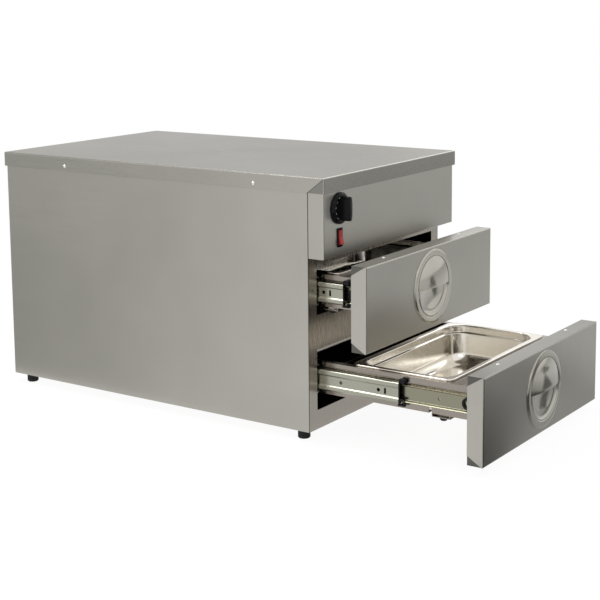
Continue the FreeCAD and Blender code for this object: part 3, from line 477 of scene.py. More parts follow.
def banded(path, thickness):
    """Closed outline of a strip of one thickness about an open path."""
    path = [Vector(point) for point in path]
    left, right = [], []
    for number, point in enumerate(path):
        before = path[max(number - 1, 0)]
        after = path[min(number + 1, len(path) - 1)]
        ins = (point - before).normalized() if number else (after - point).normalized()
        outs = (after - point).normalized() if number < len(path) - 1 else ins
        normal = Vector((-ins.y - outs.y, ins.x + outs.x)).normalized()
        reach = thickness / 2 / max(0.3, normal.dot(Vector((-ins.y, ins.x))))
        left.append(point + normal * reach)
        right.append(point - normal * reach)
    return left + right[::-1]


def rounded_box(name, low, high, radius, steps=3):
    """Box with rounded edges."""
    low, high = Vector(low), Vector(high)
    bm = bmesh.new()
    bmesh.ops.create_cube(bm, size=1.0, matrix=Matrix.Translation((low + high) / 2)
                          @ Matrix.Diagonal((*(high - low), 1.0)))
    bmesh.ops.bevel(bm, geom=bm.edges[:], offset=radius, segments=steps, profile=0.5,
                    affect="EDGES")
    return as_mesh(name, bm)


def cut(mesh, cutters):
    """The mesh with the cutters taken out of it."""
    body = linked("cut body", mesh)
    tool = linked("cut tool", merged("cut tool", cutters))
    change = body.modifiers.new("cut", "BOOLEAN")
    change.operation, change.object, change.solver = "DIFFERENCE", tool, "EXACT"
    change.use_self = True
    result = evaluated(body)
    for item in (body, tool):
        bpy.data.objects.remove(item)
    return result


# --- node trees
def new_tree(name, **inputs):
    """Geometry tree with the named inputs, and its input sockets."""
    tree = bpy.data.node_groups.new(name, "GeometryNodeTree")
    for label, kind in {"Geometry": "Geometry", **inputs}.items():
        tree.interface.new_socket(label, in_out="INPUT", socket_type="NodeSocket" + kind)
    tree.interface.new_socket("Geometry", in_out="OUTPUT", socket_type="NodeSocketGeometry")
    return tree, tree.nodes.new("NodeGroupInput").outputs


def grown(name, seed_mesh, tree, inputs):
    """Plain mesh that a tree makes from a seed mesh."""
    seed = linked(name, seed_mesh)
    change = seed.modifiers.new(name, "NODES")
    change.node_group = tree
    for item in tree.interface.items_tree:
        if item.item_type == "SOCKET" and item.in_out == "INPUT" and item.name in inputs:
            change[item.identifier] = inputs[item.name]
    mesh = evaluated(seed)
    seed.modifiers.clear()
    bpy.data.objects.remove(seed)
    return mesh


def copies(tree, points, instance, **inputs):
    """Copies of a geometry on points."""
    return add(tree, "GeometryNodeInstanceOnPoints", Points=points, Instance=instance,
               **inputs).outputs["Instances"]


def finish_tree(tree, instances, material):
    """Ends a tree in realized instances of one material."""
    real = add(tree, "GeometryNodeRealizeInstances", Geometry=instances)
    paint = add(tree, "GeometryNodeSetMaterial", Geometry=real.outputs["Geometry"],
                Material=MATERIALS[material])
    add(tree, "NodeGroupOutput", Geometry=paint.outputs["Geometry"])
    return tree


def head_tree():
    """Sets a copy of one mesh on every vertex of the seed, standing along its normal."""
    tree, given = new_tree("screw heads", Head="Object", Scale="Float")
    head = add(tree, "GeometryNodeObjectInfo", transform_space="ORIGINAL", Object=given["Head"])
    normal = add(tree, "GeometryNodeInputNamedAttribute", data_type="FLOAT_VECTOR",
                 Name="outward")
    align = add(tree, "FunctionNodeAlignRotationToVector", axis="Z",
                Vector=normal.outputs["Attribute"])
    stand = copies(tree, given["Geometry"], head.outputs["Geometry"],
                   Rotation=align.outputs["Rotation"], Scale=given["Scale"])
    return finish_tree(tree, stand, "screw")


def ball_tree():
    """Makes rows of balls; the seed holds one vertex where each row starts."""
    tree, given = new_tree("ball rows", Radius="Float", Pitch="Float", Count="Int")
    step = add(tree, "ShaderNodeCombineXYZ", Y=given["Pitch"])
    line = add(tree, "GeometryNodeMeshLine", mode="OFFSET", Offset=step.outputs["Vector"],
               Count=given["Count"])
    ball = add(tree, "GeometryNodeMeshUVSphere", Segments=14, Rings=8, Radius=given["Radius"])
    rows = copies(tree, given["Geometry"], line.outputs["Mesh"])
    real = add(tree, "GeometryNodeRealizeInstances", Geometry=rows)
    balls = copies(tree, real.outputs["Geometry"], ball.outputs["Mesh"])
    return finish_tree(tree, balls, "screw")


def mark_tree():
    """Sets copies of a mark on an arc about the seed's one point, facing the front."""
    tree, given = new_tree("scale marks", Mark="Object", Count="Int", Radius="Float",
                           Sweep="Float", Slope="Float")
    mark = add(tree, "GeometryNodeObjectInfo", Object=given["Mark"])
    ring = add(tree, "GeometryNodeCurveArc", mode="RADIUS", Start_Angle=MARK_START,
               Radius=given["Radius"], Sweep_Angle=given["Sweep"])
    points = add(tree, "GeometryNodeCurveToPoints", mode="COUNT", Curve=ring.outputs["Curve"],
                 Count=given["Count"])
    where = add(tree, "GeometryNodeInputPosition")
    spoke = add(tree, "FunctionNodeAlignRotationToVector", axis="X",
                Vector=where.outputs["Position"])
    slope = add(tree, "ShaderNodeCombineXYZ", Y=given["Slope"])
    turn = add(tree, "FunctionNodeEulerToRotation", Euler=slope.outputs["Vector"])
    tilt = add(tree, "FunctionNodeRotateRotation", rotation_space="LOCAL",
               Rotation=spoke.outputs["Rotation"], Rotate_By=turn.outputs["Rotation"])
    marks = copies(tree, points.outputs["Points"], mark.outputs["Geometry"],
                   Rotation=tilt.outputs["Rotation"])
    upright = add(tree, "FunctionNodeEulerToRotation", Euler=(math.radians(90.0), 0.0, 0.0))
    places = copies(tree, given["Geometry"], marks, Rotation=upright.outputs["Rotation"])
    return finish_tree(tree, places, "mark")


def point_mesh(name, seats):
    """Seed of loose vertices, each with the direction that its copy stands in."""
    mesh = bpy.data.meshes.new(name)
    mesh.from_pydata([seat for seat, _ in seats], [], [])
    layer = mesh.attributes.new("outward", "FLOAT_VECTOR", "POINT")
    for number, (_, outward) in enumerate(seats):
        layer.data[number].vector = outward
    return mesh


# --- finishes of the CAD nodes
NODE_FINISHES = {
    "left_side_panel": "casing", "right_side_panel": "casing", "rear_panel": "casing",
    "base_panel": "casing", "top_cover": "lid", "control_fascia": "front",
    "front_frame": "bright", "divider_rail": "bright", "chamber_liner": "chamber",
    "chamber_floor": "chamber", "rear_liner": "chamber", "insulation_slabs": "wool",
    "upper_heating_element": "heater", "lower_heating_element": "heater",
    "element_supports": "heater", "thermostat_body": "terminal", "thermostat_bulb": "copper",
    "terminal_block": "terminal", "thermostat_spindle": "screw", "drawer_front": "front",
    "front_lining": "carrier", "drawer_frame": "carrier",
}


def finish_nodes():
    """Gives every CAD node that stays its finish."""
    for name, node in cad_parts.items():
        kind = name
        for level in LEVELS:
            kind = kind.removeprefix(level + "_") if kind not in NODE_FINISHES else kind
        node.data.materials.clear()
        node.data.materials.append(MATERIALS[NODE_FINISHES.get(kind, "plastic")])


# --- pans
CORNER_STEPS = 10


def plan_ring(middle, half_x, half_y, corner, z):
    """Ring of points round a rounded rectangle at one height."""
    ring = []
    for quarter, (side_x, side_y) in enumerate(((1, 1), (-1, 1), (-1, -1), (1, -1))):
        centre = Vector((middle.x + side_x * (half_x - corner),
                         middle.y + side_y * (half_y - corner), z))
        for step in range(CORNER_STEPS + 1):
            angle = math.radians(90 * (quarter + step / CORNER_STEPS))
            ring.append(centre + Vector((math.cos(angle), math.sin(angle), 0)) * corner)
    return ring


def pan_profile(sizes, depth):
    """Inset and drop of the pan's upper skin, from the rim's skirt to the floor."""
    rim, shoulder, turn = sizes.rim / MM, sizes.shoulder / MM, sizes.floor_round / MM
    deep = depth / MM
    corners = [(0.0, 3.0, 0), (0.0, 0.0, 1.2), (rim, 0.0, 2.6), (rim + 0.6, shoulder, 1.6),
               (rim + 3.2, shoulder + 1.4, 1.6), (rim + 8.2, deep - 0.8, turn),
               (rim + 40.0, deep - 0.8, 0)]
    return metres(rounded(corners, 6))


def make_pan(level):
    """Pressed pan with a turned rim, a stacking shoulder and a rounded floor."""
    sizes = settings().pan
    low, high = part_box(level + "_pan")
    middle = (low + high) / 2
    half_x, half_y = (high.x - low.x) / 2, (high.y - low.y) / 2
    rings = []
    for inset, drop in pan_profile(sizes, high.z - low.z):
        share = min(1.0, inset / sizes.rim)
        corner = sizes.rim_corner + (sizes.well_corner - sizes.rim_corner) * share
        corner = max(corner - 0.3 * inset, 6 * MM)
        rings.append(plan_ring(middle, half_x - inset, half_y - inset, corner, high.z - drop))
    bm = skinned(rings, close_ends=False)
    bm.faces.new([bm.verts.new(point) for point in rings[-1]])
    mesh = as_mesh(level + "_pan_shell", bm)
    if sum(polygon.normal.z * polygon.area for polygon in mesh.polygons) < 0:
        mesh.flip_normals()
    pan = shown(level + "_pan_shell", mesh, "pan", level + "_drawer", level + "_pan",
                50.0)
    wall = pan.modifiers.new("wall", "SOLIDIFY")
    wall.thickness, wall.offset, wall.use_even_offset = sizes.sheet, -1.0, True


# --- pulls
SEAT_WIDTH = 4 * MM             # flat under the ring's outer edge
HOOD_ROOT = 3.4 * MM            # from the bowl's mouth to the hood's foot


def make_pull(level):
    """Round pull: a pressed ring with a groove, a deep bowl, and a hood over its upper half."""
    sizes = settings().pull
    low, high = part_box(level + "_handle_cup")
    rise, proud, sheet = sizes.hood_rise, sizes.proud, sizes.sheet
    origin = Vector(((low.x + high.x) / 2, low.y + rise + proud, (low.z + high.z) / 2))
    mouth, outer, ring = (size / MM for size in (sizes.bowl_radius, sizes.radius, proud))
    face = metres(rounded([
        (outer, 0.0, 0), (outer - 0.2, 1.3, 1.0), (outer - 3.5, ring, 2.0),
        (mouth + 5.2, ring, 1.2), (mouth + 4.0, ring - 0.9, 0.9), (mouth + 1.6, ring - 0.4, 1.2),
        (mouth - 0.6, -0.3, 0)]))
    bowl = [(r, proud - h) for r, h in cap(sizes.bowl_radius, sizes.bowl_depth, 22)]
    inner = face + [point for point in bowl if point[1] < 0]
    back = [(r, h - sheet) for r, h in reversed(bowl) if h - sheet < -0.4 * MM]
    cup = turned("cup", inner + back + [(sizes.radius - SEAT_WIDTH, 0.0)], origin, FRONT, 128)
    crown = cap(sizes.bowl_radius + HOOD_ROOT, rise, 20, proud)
    under = [(max(0.0, r - sheet * 0.4) if r else 0.0, h - sheet) for r, h in reversed(crown)]
    hood = turned("hood", crown + under, origin, FRONT, 64, 180.0)
    if max(v.co.z for v in hood.vertices) < origin.z + proud:
        raise RuntimeError("the hood has to cover the bowl's upper half")
    name = level + "_round_pull"
    shown(name, merged(name, [cup, hood]), "pull", level + "_drawer", level + "_handle_cup",
          40.0)


# --- slides
LINER_HALF = 182.0 * MM         # middle of the cabinet to the liner that carries the slides
BALL_OUTER = (5.0, 19.6)        # ball rows: distance from the liner and height, in mm
BALL_INNER = (8.6, 14.3)
RACE = 2.65                     # radius of a ball race's middle line, in mm
LIP_START = 15.0                # where a race's lip starts, in degrees from level
HOLES = {"middle_rail": (36.0, 104.0, 290.0, 420.0), "drawer_rail": (62.0, 190.0, 352.0)}
HOLE_START = 14.0               # where the holes' cutters start, in mm from the liner
HOLE_REACH = 16 * MM            # how far they go through the rails
DISC_START = 11.45              # where the release discs start, in mm from the liner
DISC_INSET = 14.4 * MM          # from the front ends of the drawer rails


def slide_frame(level, side):
    """Places a slide section's (distance from the liner, height) in mm at one depth."""
    low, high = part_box(f"{level}_{side}_cabinet_rail")
    middle = (low.z + high.z) / 2
    sign = SIDES[side]
    return lambda d, h, y: Vector((sign * (LINER_HALF - d * MM), y, middle + h * MM))


def rail_paths():
    """Middle lines of the upper halves of the three rails' sections, in mm."""
    return {
        "cabinet_rail": arc(BALL_OUTER, RACE, LIP_START, 90.0) + rounded(
            [(5.0, 22.25, 0), (0.6, 22.25, 1.4), (0.6, 0.0, 0)])[1:],
        "middle_rail": arc(BALL_INNER, RACE, LIP_START, 90.0) + rounded(
            [(8.6, 16.95, 0), (2.5, 16.95, 4.2), (2.5, 9.6, 1.0), (4.05, 7.35, 0.8),
             (4.05, 0.0, 0)], 8)[1:],
        "drawer_rail": arc(BALL_INNER, RACE, 195.0, 270.0) + rounded(
            [(8.6, 11.65, 0), (12.1, 11.65, 1.6), (12.1, 0.0, 0)])[1:]}


def strip(name, half, thickness, place, low, high):
    """Straight strip from the upper half of its section, from low to high."""
    path = half[:-1] + [(d, -h) for d, h in reversed(half[:-1])]
    section = [place(point.x, point.y, low.y) for point in banded(path, thickness / MM)]
    return drawn(name, section, Vector((0, high.y - low.y, 0)))


def rail_holes(kind, place, near, out):
    """Cutters for a rail's holes: round ones, and an upright slot near its front end."""
    radius = settings().slide.hole
    ring = [(radius, -2 * MM), (radius, HOLE_REACH), (0.0, HOLE_REACH), (0.0, -2 * MM)]
    cutters = [turned("hole", ring, place(HOLE_START, 0, near + spot * MM), out, 24)
               for spot in HOLES[kind]]
    if kind == "middle_rail":
        upright = rounded([(22.4, 0.0, 0), (22.4, 5.0, 1.4), (26.0, 5.0, 1.4), (26.0, -5.0, 1.4),
                           (22.4, -5.0, 1.4), (22.4, -0.1, 0)], 3)
        section = [place(HOLE_START, h, near + y * MM) for y, h in upright]
        cutters.append(drawn("slot", section, out * HOLE_REACH))
    return cutters


def make_rails(level, side):
    """The three rails of one slide."""
    place, out = slide_frame(level, side), RIGHT * SIDES[side]
    slide = f"{level}_{side}_"
    bodies = {"cabinet_rail": "cabinet", "middle_rail": slide + "middle_rail_body",
              "drawer_rail": level + "_drawer"}
    for kind, half in rail_paths().items():
        low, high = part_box(slide + kind)
        name = slide + kind + "_profile"
        mesh = strip(name, half, settings().slide.sheet, place, low, high)
        if kind in HOLES:
            mesh = cut(mesh, rail_holes(kind, place, low.y, out))
        shown(name, mesh, "inner_zinc" if kind == "drawer_rail" else "zinc", bodies[kind],
              slide + kind, 35.0)


def make_cages(level, side, tree):
    """The two ball cages of one slide: a thin strip, and rows of balls."""
    sizes = settings().slide
    place = slide_frame(level, side)
    webs = {"outer_cage": (BALL_OUTER, 1.6), "inner_cage": (BALL_INNER, 5.0)}
    for kind, ((depth, height), web) in webs.items():
        node = f"{level}_{side}_{kind}"
        low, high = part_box(node)
        half = rounded([(depth + 1.85, height, 0), (web, height, 0.8), (web, 0.0, 0)])
        sheet = strip(node + "_strip", half, sizes.cage_sheet, place, low, high)
        pitch = (high.y - low.y) / sizes.balls
        starts = [(place(depth, row * height, low.y + pitch / 2), REAR) for row in (-1, 1)]
        balls = grown(node + "_balls", point_mesh(node + "_rows", starts), tree,
                      {"Radius": sizes.ball, "Pitch": pitch, "Count": sizes.balls})
        name = node + "_with_balls"
        shown(name, merged(name, [sheet, balls]), "cage", node + "_body", node,
              40.0)


def make_clips(level, side):
    """Black plastic of one slide: lead-in and end buffer of the middle rail, release disc."""
    place = slide_frame(level, side)
    slide = f"{level}_{side}_"
    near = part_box(slide + "middle_rail")[0].y

    def plate(name, depths, heights, back, front, radius=0.5):
        """Rounded block from the rail's front end."""
        ends = [place(depth, height, near + y * MM)
                for depth, height, y in zip(depths, heights, (back, front))]
        return rounded_box(name, map(min, *ends), map(max, *ends), radius * MM)

    parts = [plate("lead-in", (4.0, 11.0), (15.0, 22.0), 0.6, -9.5, 1.0),
             plate("end buffer", (2.6, 4.7), (-13.0, 15.6), 0.6, -1.5),
             plate("lower catch", (2.8, 4.7), (-11.6, -8.2), 0.4, -8.0),
             plate("lower hook", (3.4, 9.4), (-20.2, -17.4), 2.0, -10.0),
             plate("hook root", (3.4, 4.7), (-20.2, -12.8), 0.6, -1.5)]
    shown(slide + "middle_rail_clip", merged("clip", parts), "plastic",
          slide + "middle_rail_body", None)
    disc = rounded([(5.0, 0.0, 0.3), (9.4, 0.0, 0.3), (9.4, 2.2, 0.6), (8.0, 2.7, 0.5),
                    (6.2, 2.7, 0.5), (5.0, 2.2, 0.3), (5.0, 0.1, 0)], 3)
    middle = place(DISC_START, 0.0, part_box(slide + "drawer_rail")[0].y + DISC_INSET)
    shown(slide + "release_disc", turned("disc", metres(disc), middle, RIGHT * SIDES[side], 48),
          "plastic", level + "_drawer", None)


# --- screws
SCREW_RADIUS = 3.6 * MM                         # of the solids' screw heads
LID_SCREWS = (133.5 * MM, 537.0 * MM)           # behind the lid's front
LID_SCREW_DROP = 17 * MM                        # below the lid's top
REAR_SCREWS = (60.0 * MM, 215.0 * MM, 350.0 * MM)   # above the rear panel's foot
REAR_SCREW_INSET = 15.4 * MM                    # from the sides' outermost screw heads


def screw_head():
    """Domed head with a cross recess, standing on the origin; hidden helper for the tree."""
    sizes = settings().screw
    radius, rise = sizes.head, sizes.rise
    head = turned("head", cap(radius, rise, 7) + [(0.0, -0.2 * MM), (radius, -0.2 * MM)],
                  Vector(), UP, 24)
    for x, y in ((0.55 * radius, sizes.slot / 2), (sizes.slot / 2, 0.55 * radius)):
        head = cut(head, [rounded_box("slot", (-x, -y, rise * 0.45), (x, y, rise * 2),
                                      0.05 * MM, 1)])
    return linked("screw head", head)


def make_screws():
    """All the visible screws, in one piece for each body."""
    tree, head = head_tree(), screw_head()

    def heads(name, seats, scale, body, node):
        """Screw heads on their seats, as one piece."""
        mesh = grown(name, point_mesh(name, seats), tree, {"Head": head, "Scale": scale})
        shown(name, mesh, "screw", body, node)

    screws, cover, panel = map(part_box, ("cabinet_screws", "top_cover", "rear_panel"))
    seats = []
    for side in (-1, 1):
        seats += [(Vector((cover[side > 0].x, cover[0].y + y, cover[1].z - LID_SCREW_DROP)),
                   RIGHT * side) for y in LID_SCREWS]
    for side in (-1, 1):
        seats += [(Vector((side * (screws[1].x - REAR_SCREW_INSET), panel[1].y, panel[0].z + z)),
                   REAR) for z in REAR_SCREWS]
    heads("casing_screws", seats, 1.0, "cabinet", "cabinet_screws")
    for level in LEVELS:
        low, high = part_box(level + "_front_screws")
        seats = [(Vector((x, (low.y + high.y) / 2, low.z)), UP)
                 for x in (low.x + SCREW_RADIUS, high.x - SCREW_RADIUS)]
        heads(level + "_screws", seats, 0.9, level + "_drawer", level + "_front_screws")
    bpy.data.objects.remove(head)


# --- dial and switch
GRIP_SIDES = 56                 # points round the dial's grip
MARK_START = math.radians(-45.0)
MARK_SWEEP = math.radians(270.0)
MARK_SLOPE = math.radians(38.0)     # of the skirt where the marks are
MARK_HEIGHT = 5.05 * MM         # above the skirt's foot
MARK_INSET = 4.9                # from the skirt's edge, in mm


def power(value, exponent):
    """Power of a value's size, with the value's sign."""
    return math.copysign(abs(value) ** exponent, value)


def make_dial():
    """Dial: a dished skirt with scale marks, and a waisted grip across it."""
    low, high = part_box("dial_knob")
    origin = Vector(((low.x + high.x) / 2, high.y, (low.z + high.z) / 2))
    edge, deep = (high.x - low.x) / 2 / MM, (high.y - low.y) / MM
    skirt = rounded([(0.0, 0.0, 0), (edge, 0.0, 0.4), (edge, 2.2, 0.9), (edge - 3.6, 5.6, 2.2),
                     (edge - 8.0, 6.0, 1.0), (0.0, 6.0, 0)])
    grip = []
    for height, half_x, half_z in ((5.5, 6.4, 19.6), (9.0, 5.9, 19.3), (deep - 2.2, 5.6, 19.0),
                                   (deep - 0.7, 5.2, 18.5), (deep, 4.0, 17.2)):
        angles = [2 * math.pi * step / GRIP_SIDES for step in range(GRIP_SIDES)]
        grip.append([origin + Vector((half_x * power(math.cos(angle), 0.55), -height,
                                      half_z * power(math.sin(angle), 0.75))) * MM
                     for angle in angles])
    parts = [turned("skirt", metres(skirt), origin, FRONT, 72), as_mesh("grip", skinned(grip))]
    shown("dial", merged("dial", parts), "satin_plastic", "dial", "dial_knob",
          40.0)
    sizes = settings().dial
    half_wide, half_long = sizes.mark_width / 2, sizes.mark_length / 2
    line = rounded_box("pointer", (origin.x - half_wide, low.y + 0.02 * MM, origin.z + 9 * MM),
                       (origin.x + half_wide, low.y + 1.2 * MM, origin.z + 16.5 * MM),
                       0.2 * MM, 2)
    shown("dial_pointer", line, "mark", "dial", None)
    mark = linked("mark", rounded_box("mark", (-half_long, -half_wide, -0.25 * MM),
                                      (half_long, half_wide, 0.12 * MM), 0.08 * MM, 1))
    seats = [(origin + FRONT * MARK_HEIGHT, Vector())]
    mesh = grown("dial_marks", point_mesh("dial middle", seats), mark_tree(), {
        "Mark": mark, "Count": sizes.marks, "Radius": (edge - MARK_INSET) * MM,
        "Sweep": MARK_SWEEP, "Slope": MARK_SLOPE})
    bpy.data.objects.remove(mark)
    shown("dial_marks", mesh, "mark", "dial", None)


def make_switch():
    """Rocker switch: a rounded bezel round a red rocker with two hollow faces."""
    low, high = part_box("switch_housing")
    rock_low, rock_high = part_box("switch_rocker")
    middle = (low + high) / 2
    face = low.y + 2 * MM
    half_x = (rock_high.x - rock_low.x) / 2 + 0.35 * MM
    well = rounded_box("well", (middle.x - half_x, low.y - 4 * MM, low.z + 1.6 * MM),
                       (middle.x + half_x, face + 10 * MM, high.z - 1.6 * MM), 0.4 * MM, 1)
    bezel = rounded_box("bezel", low, (high.x, face, high.z), 0.8 * MM)
    body = rounded_box("switch body", (low.x + 0.5 * MM, face - 0.2 * MM, low.z + MM),
                       (high.x - 0.5 * MM, high.y, high.z - MM), 0.4 * MM, 1)
    for name, block, finish in (("switch_bezel", bezel, "satin_plastic"),
                                ("switch_body", body, "plastic")):
        shown(name, cut(block, [well]), finish, "cabinet", "switch_housing")
    tilt, half, stand = math.radians(8.0), 11.3, 4.3
    pivot = Vector((middle.x, face + 1.0 * MM, middle.z))
    front = []
    for step in range(25):
        share = step / 12 - 1.0
        wave = math.sin(math.pi * abs(share))
        front.append((-stand - abs(share) * math.tan(tilt) * half + 0.35 * wave, share * half))
    outline = front + [(0.0, half), (3.8, 3.6), (3.8, -3.6), (0.0, -half)]
    turn = Matrix.Rotation(-tilt, 3, "X")
    section = [pivot + turn @ (Vector((-4.8, y, z)) * MM) for y, z in outline]
    rocker = shown("rocker", drawn("rocker", section, RIGHT * (9.6 * MM)), "red", "rocker",
                   "switch_rocker", 30.0)
    edge = rocker.modifiers.new("edge", "BEVEL")
    edge.width, edge.segments, edge.limit_method = 0.5 * MM, 3, "ANGLE"


# --- rubber and gland
FOOT_RADIUS = 10.0              # in mm


def studs(name, corners, spots, body, node):
    """Turned rubber studs of one profile, as one piece."""
    profile = metres(rounded(corners, 4))
    parts = [turned("stud", profile, Vector(spot), UP, 40) for spot in spots]
    shown(name, merged(name, parts), "rubber", body, node)


def make_rubber():
    """Feet under the casing and stops under the drawers' brackets."""
    low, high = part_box("feet")
    radius, tall = FOOT_RADIUS, (high.z - low.z) / MM
    studs("rubber_feet", [(0.0, 0.0, 0), (radius - 1.4, 0.0, 0.8), (radius, 1.6, 0.8),
                          (radius, tall - 1.0, 0.5), (radius - 1.0, tall, 0.3), (0.0, tall, 0)],
          [(x, y, low.z) for x in (low.x + radius * MM, high.x - radius * MM)
           for y in (low.y + radius * MM, high.y - radius * MM)], "cabinet", "feet")
    for level in LEVELS:
        low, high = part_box(level + "_stop_buffers")
        size, tall = (high.y - low.y) / 2 / MM, (high.z - low.z) / MM
        studs(level + "_rubber_stops", [(0.0, tall, 0), (size, tall, 0.3),
                                        (size, tall - 2.2, 0.8), (size - 1.8, 0.4, 1.5),
                                        (0.0, 0.0, 0)],
              [(x, (low.y + high.y) / 2, low.z)
               for x in (low.x + size * MM, high.x - size * MM)],
              level + "_drawer", level + "_stop_buffers")


def make_gland():
    """Cable gland: threaded stub, hexagon, and a ribbed dome nut with the cord's hole."""
    low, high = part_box("cable_gland")
    origin = Vector(((low.x + high.x) / 2, low.y, (low.z + high.z) / 2))

    def ring(sides, height, radius, groove=0.0):
        """Points round the axis, every third of them in a groove."""
        points = []
        for number in range(sides):
            angle = 2 * math.pi * number / sides
            reach = radius - groove * (number % 3 == 0)
            points.append(origin + Vector((reach * math.cos(angle), height,
                                           reach * math.sin(angle))) * MM)
        return points

    stub = [(5.0, 0.0), (10.0, 0.0)]
    for thread in range(5):
        stub += [(10.0, 0.4 + thread), (9.4, 0.9 + thread)]
    stub += [(10.0, 5.6), (10.0, 8.0), (5.0, 8.0)]
    nut = [ring(6, *level) for level in ((7.2, 12.9), (8.0, 13.5), (12.4, 13.5), (13.2, 12.9))]
    dome = [ring(72, *level) for level in (
        (13.0, 11.0), (14.0, 11.0, 0.5), (22.0, 11.0, 0.5), (26.0, 10.4, 0.3), (29.0, 8.9),
        (30.8, 7.0), (31.2, 6.0), (31.2, 5.0), (13.0, 5.0))]
    bore = [(9.0, 0.0), (9.0, 20.0), (0.0, 20.0), (0.0, 0.0)]
    parts = [turned("stub", metres(stub), origin, REAR, 48),
             cut(as_mesh("nut", skinned(nut)), [turned("bore", metres(bore), origin, REAR, 48)]),
             as_mesh("dome", skinned(dome + [dome[0]], close_ends=False))]
    shown("gland", merged("gland", parts), "plastic", "cabinet", "cable_gland",
          28.0)


# --- stage
CAMERA_PLACE = (-1.9628, -1.3749, 0.7116)
CAMERA_AHEAD = (0.81498, 0.56064, -0.14658)
CAMERA_RIGHT = (0.56562, -0.82462, -0.00919)
FOCAL_PIXELS, IMAGE_PIXELS, SENSOR = 1408.0, 600.0, 36.0
OPTICAL_ROW = 192.0             # image row that the optical axis meets
FLOOR_HALF = 30.0               # half the floor's width
FLOOR_GLOW = 1.035              # level of the floor's plain white, in backdrops
FLOOR_WHITE = 0.90              # share of plain white where the floor is looked at


def make_camera():
    """Camera with a raised optical axis."""
    data = bpy.data.cameras.new("camera")
    data.sensor_width = SENSOR
    data.lens = FOCAL_PIXELS * SENSOR / IMAGE_PIXELS
    data.shift_y = (OPTICAL_ROW - IMAGE_PIXELS / 2) / IMAGE_PIXELS
    data.clip_end = 100.0
    camera = linked("camera", data)
    ahead = Vector(CAMERA_AHEAD).normalized()
    right = Vector(CAMERA_RIGHT)
    right = (right - ahead * right.dot(ahead)).normalized()
    up = right.cross(ahead)
    camera.matrix_world = Matrix.Translation(CAMERA_PLACE) @ Matrix(
        (right, up, -ahead)).transposed().to_4x4()
    bpy.context.scene.camera = camera


def white_for_looking(tree, lit, white, output):
    """Shows plain white to the camera and in reflections, and something else to the light."""
    path = add(tree, "ShaderNodeLightPath").outputs
    seen = path["Is Camera Ray"]
    for name in ("Is Glossy Ray", "Is Transmission Ray"):
        seen = add(tree, "ShaderNodeMath", seen, path[name], operation="MAXIMUM").outputs["Value"]
    mix = add(tree, "ShaderNodeMixShader", seen, lit, white)
    tree.links.new(mix.outputs["Shader"], output)


def make_world():
    """Even light from all round, and a white backdrop."""
    studio = settings().studio
    world = bpy.data.worlds.new("studio")
    bpy.context.scene.world = world
    world.use_nodes = True
    tree = world.node_tree
    light = tree.nodes["Background"]
    light.inputs["Color"].default_value = WHITE
    light.inputs["Strength"].default_value = studio.fill
    white = add(tree, "ShaderNodeBackground", Color=WHITE, Strength=studio.white)
    white_for_looking(tree, light.outputs["Background"], white.outputs["Background"],
                      tree.nodes["World Output"].inputs["Surface"])


def make_floor():
    """White floor that keeps a faint shadow."""
    bm = bmesh.new()
    bmesh.ops.create_grid(bm, x_segments=1, y_segments=1, size=FLOOR_HALF)
    floor = baked("floor", bm)
    material, tree = shader("white floor", (0.9, 0.9, 0.9), 0.0, 0.9, Specular_IOR_Level=0.0)
    lit = tree.nodes["Principled BSDF"].outputs["BSDF"]
    glow = add(tree, "ShaderNodeEmission", Strength=settings().studio.white * FLOOR_GLOW)
    blend = add(tree, "ShaderNodeMixShader", FLOOR_WHITE, lit, glow.outputs["Emission"])
    white_for_looking(tree, lit, blend.outputs["Shader"],
                      tree.nodes["Material Output"].inputs["Surface"])
    floor.materials.append(material)
    linked("floor", floor)


def shade_material(name, direction, stops, strength):
    """Card whose level follows stops of (place along a direction, level)."""
    material = bpy.data.materials.new(name)
    material.use_nodes = True
    tree = material.node_tree
    tree.nodes.remove(tree.nodes["Principled BSDF"])
    place = add(tree, "ShaderNodeTexCoord")
    along = add(tree, "ShaderNodeVectorMath", place.outputs["Object"], direction,
                operation="DOT_PRODUCT")
    start, end = stops[0][0], stops[-1][0]
    share = add(tree, "ShaderNodeMapRange", Value=along.outputs["Value"], From_Min=start,
                From_Max=end)
    ramp = add(tree, "ShaderNodeValToRGB", Fac=share.outputs["Result"])
    marks = ramp.color_ramp.elements
    while len(marks) < len(stops):
        marks.new(0.5)
    for mark, (at, level) in zip(marks, stops):
        mark.position = (at - start) / (end - start)
        mark.color = (level, level, level, 1.0)
    glow = add(tree, "ShaderNodeEmission", Color=ramp.outputs["Color"], Strength=strength)
    tree.links.new(glow.outputs["Emission"], tree.nodes["Material Output"].inputs["Surface"])
    return material


def make_card(name, corners, strength=1.0, direction=(1, 0, 0), stops=((0.0, 1.0), (1.0, 1.0))):
    """Studio card that only reflections show."""
    mesh = bpy.data.meshes.new(name)
    mesh.from_pydata(corners, [], [tuple(range(len(corners)))])
    mesh.materials.append(shade_material(name, direction, stops, strength))
    card = linked(name, mesh)
    card.visible_camera = card.visible_diffuse = card.visible_shadow = False
    card.visible_transmission = card.visible_volume_scatter = False


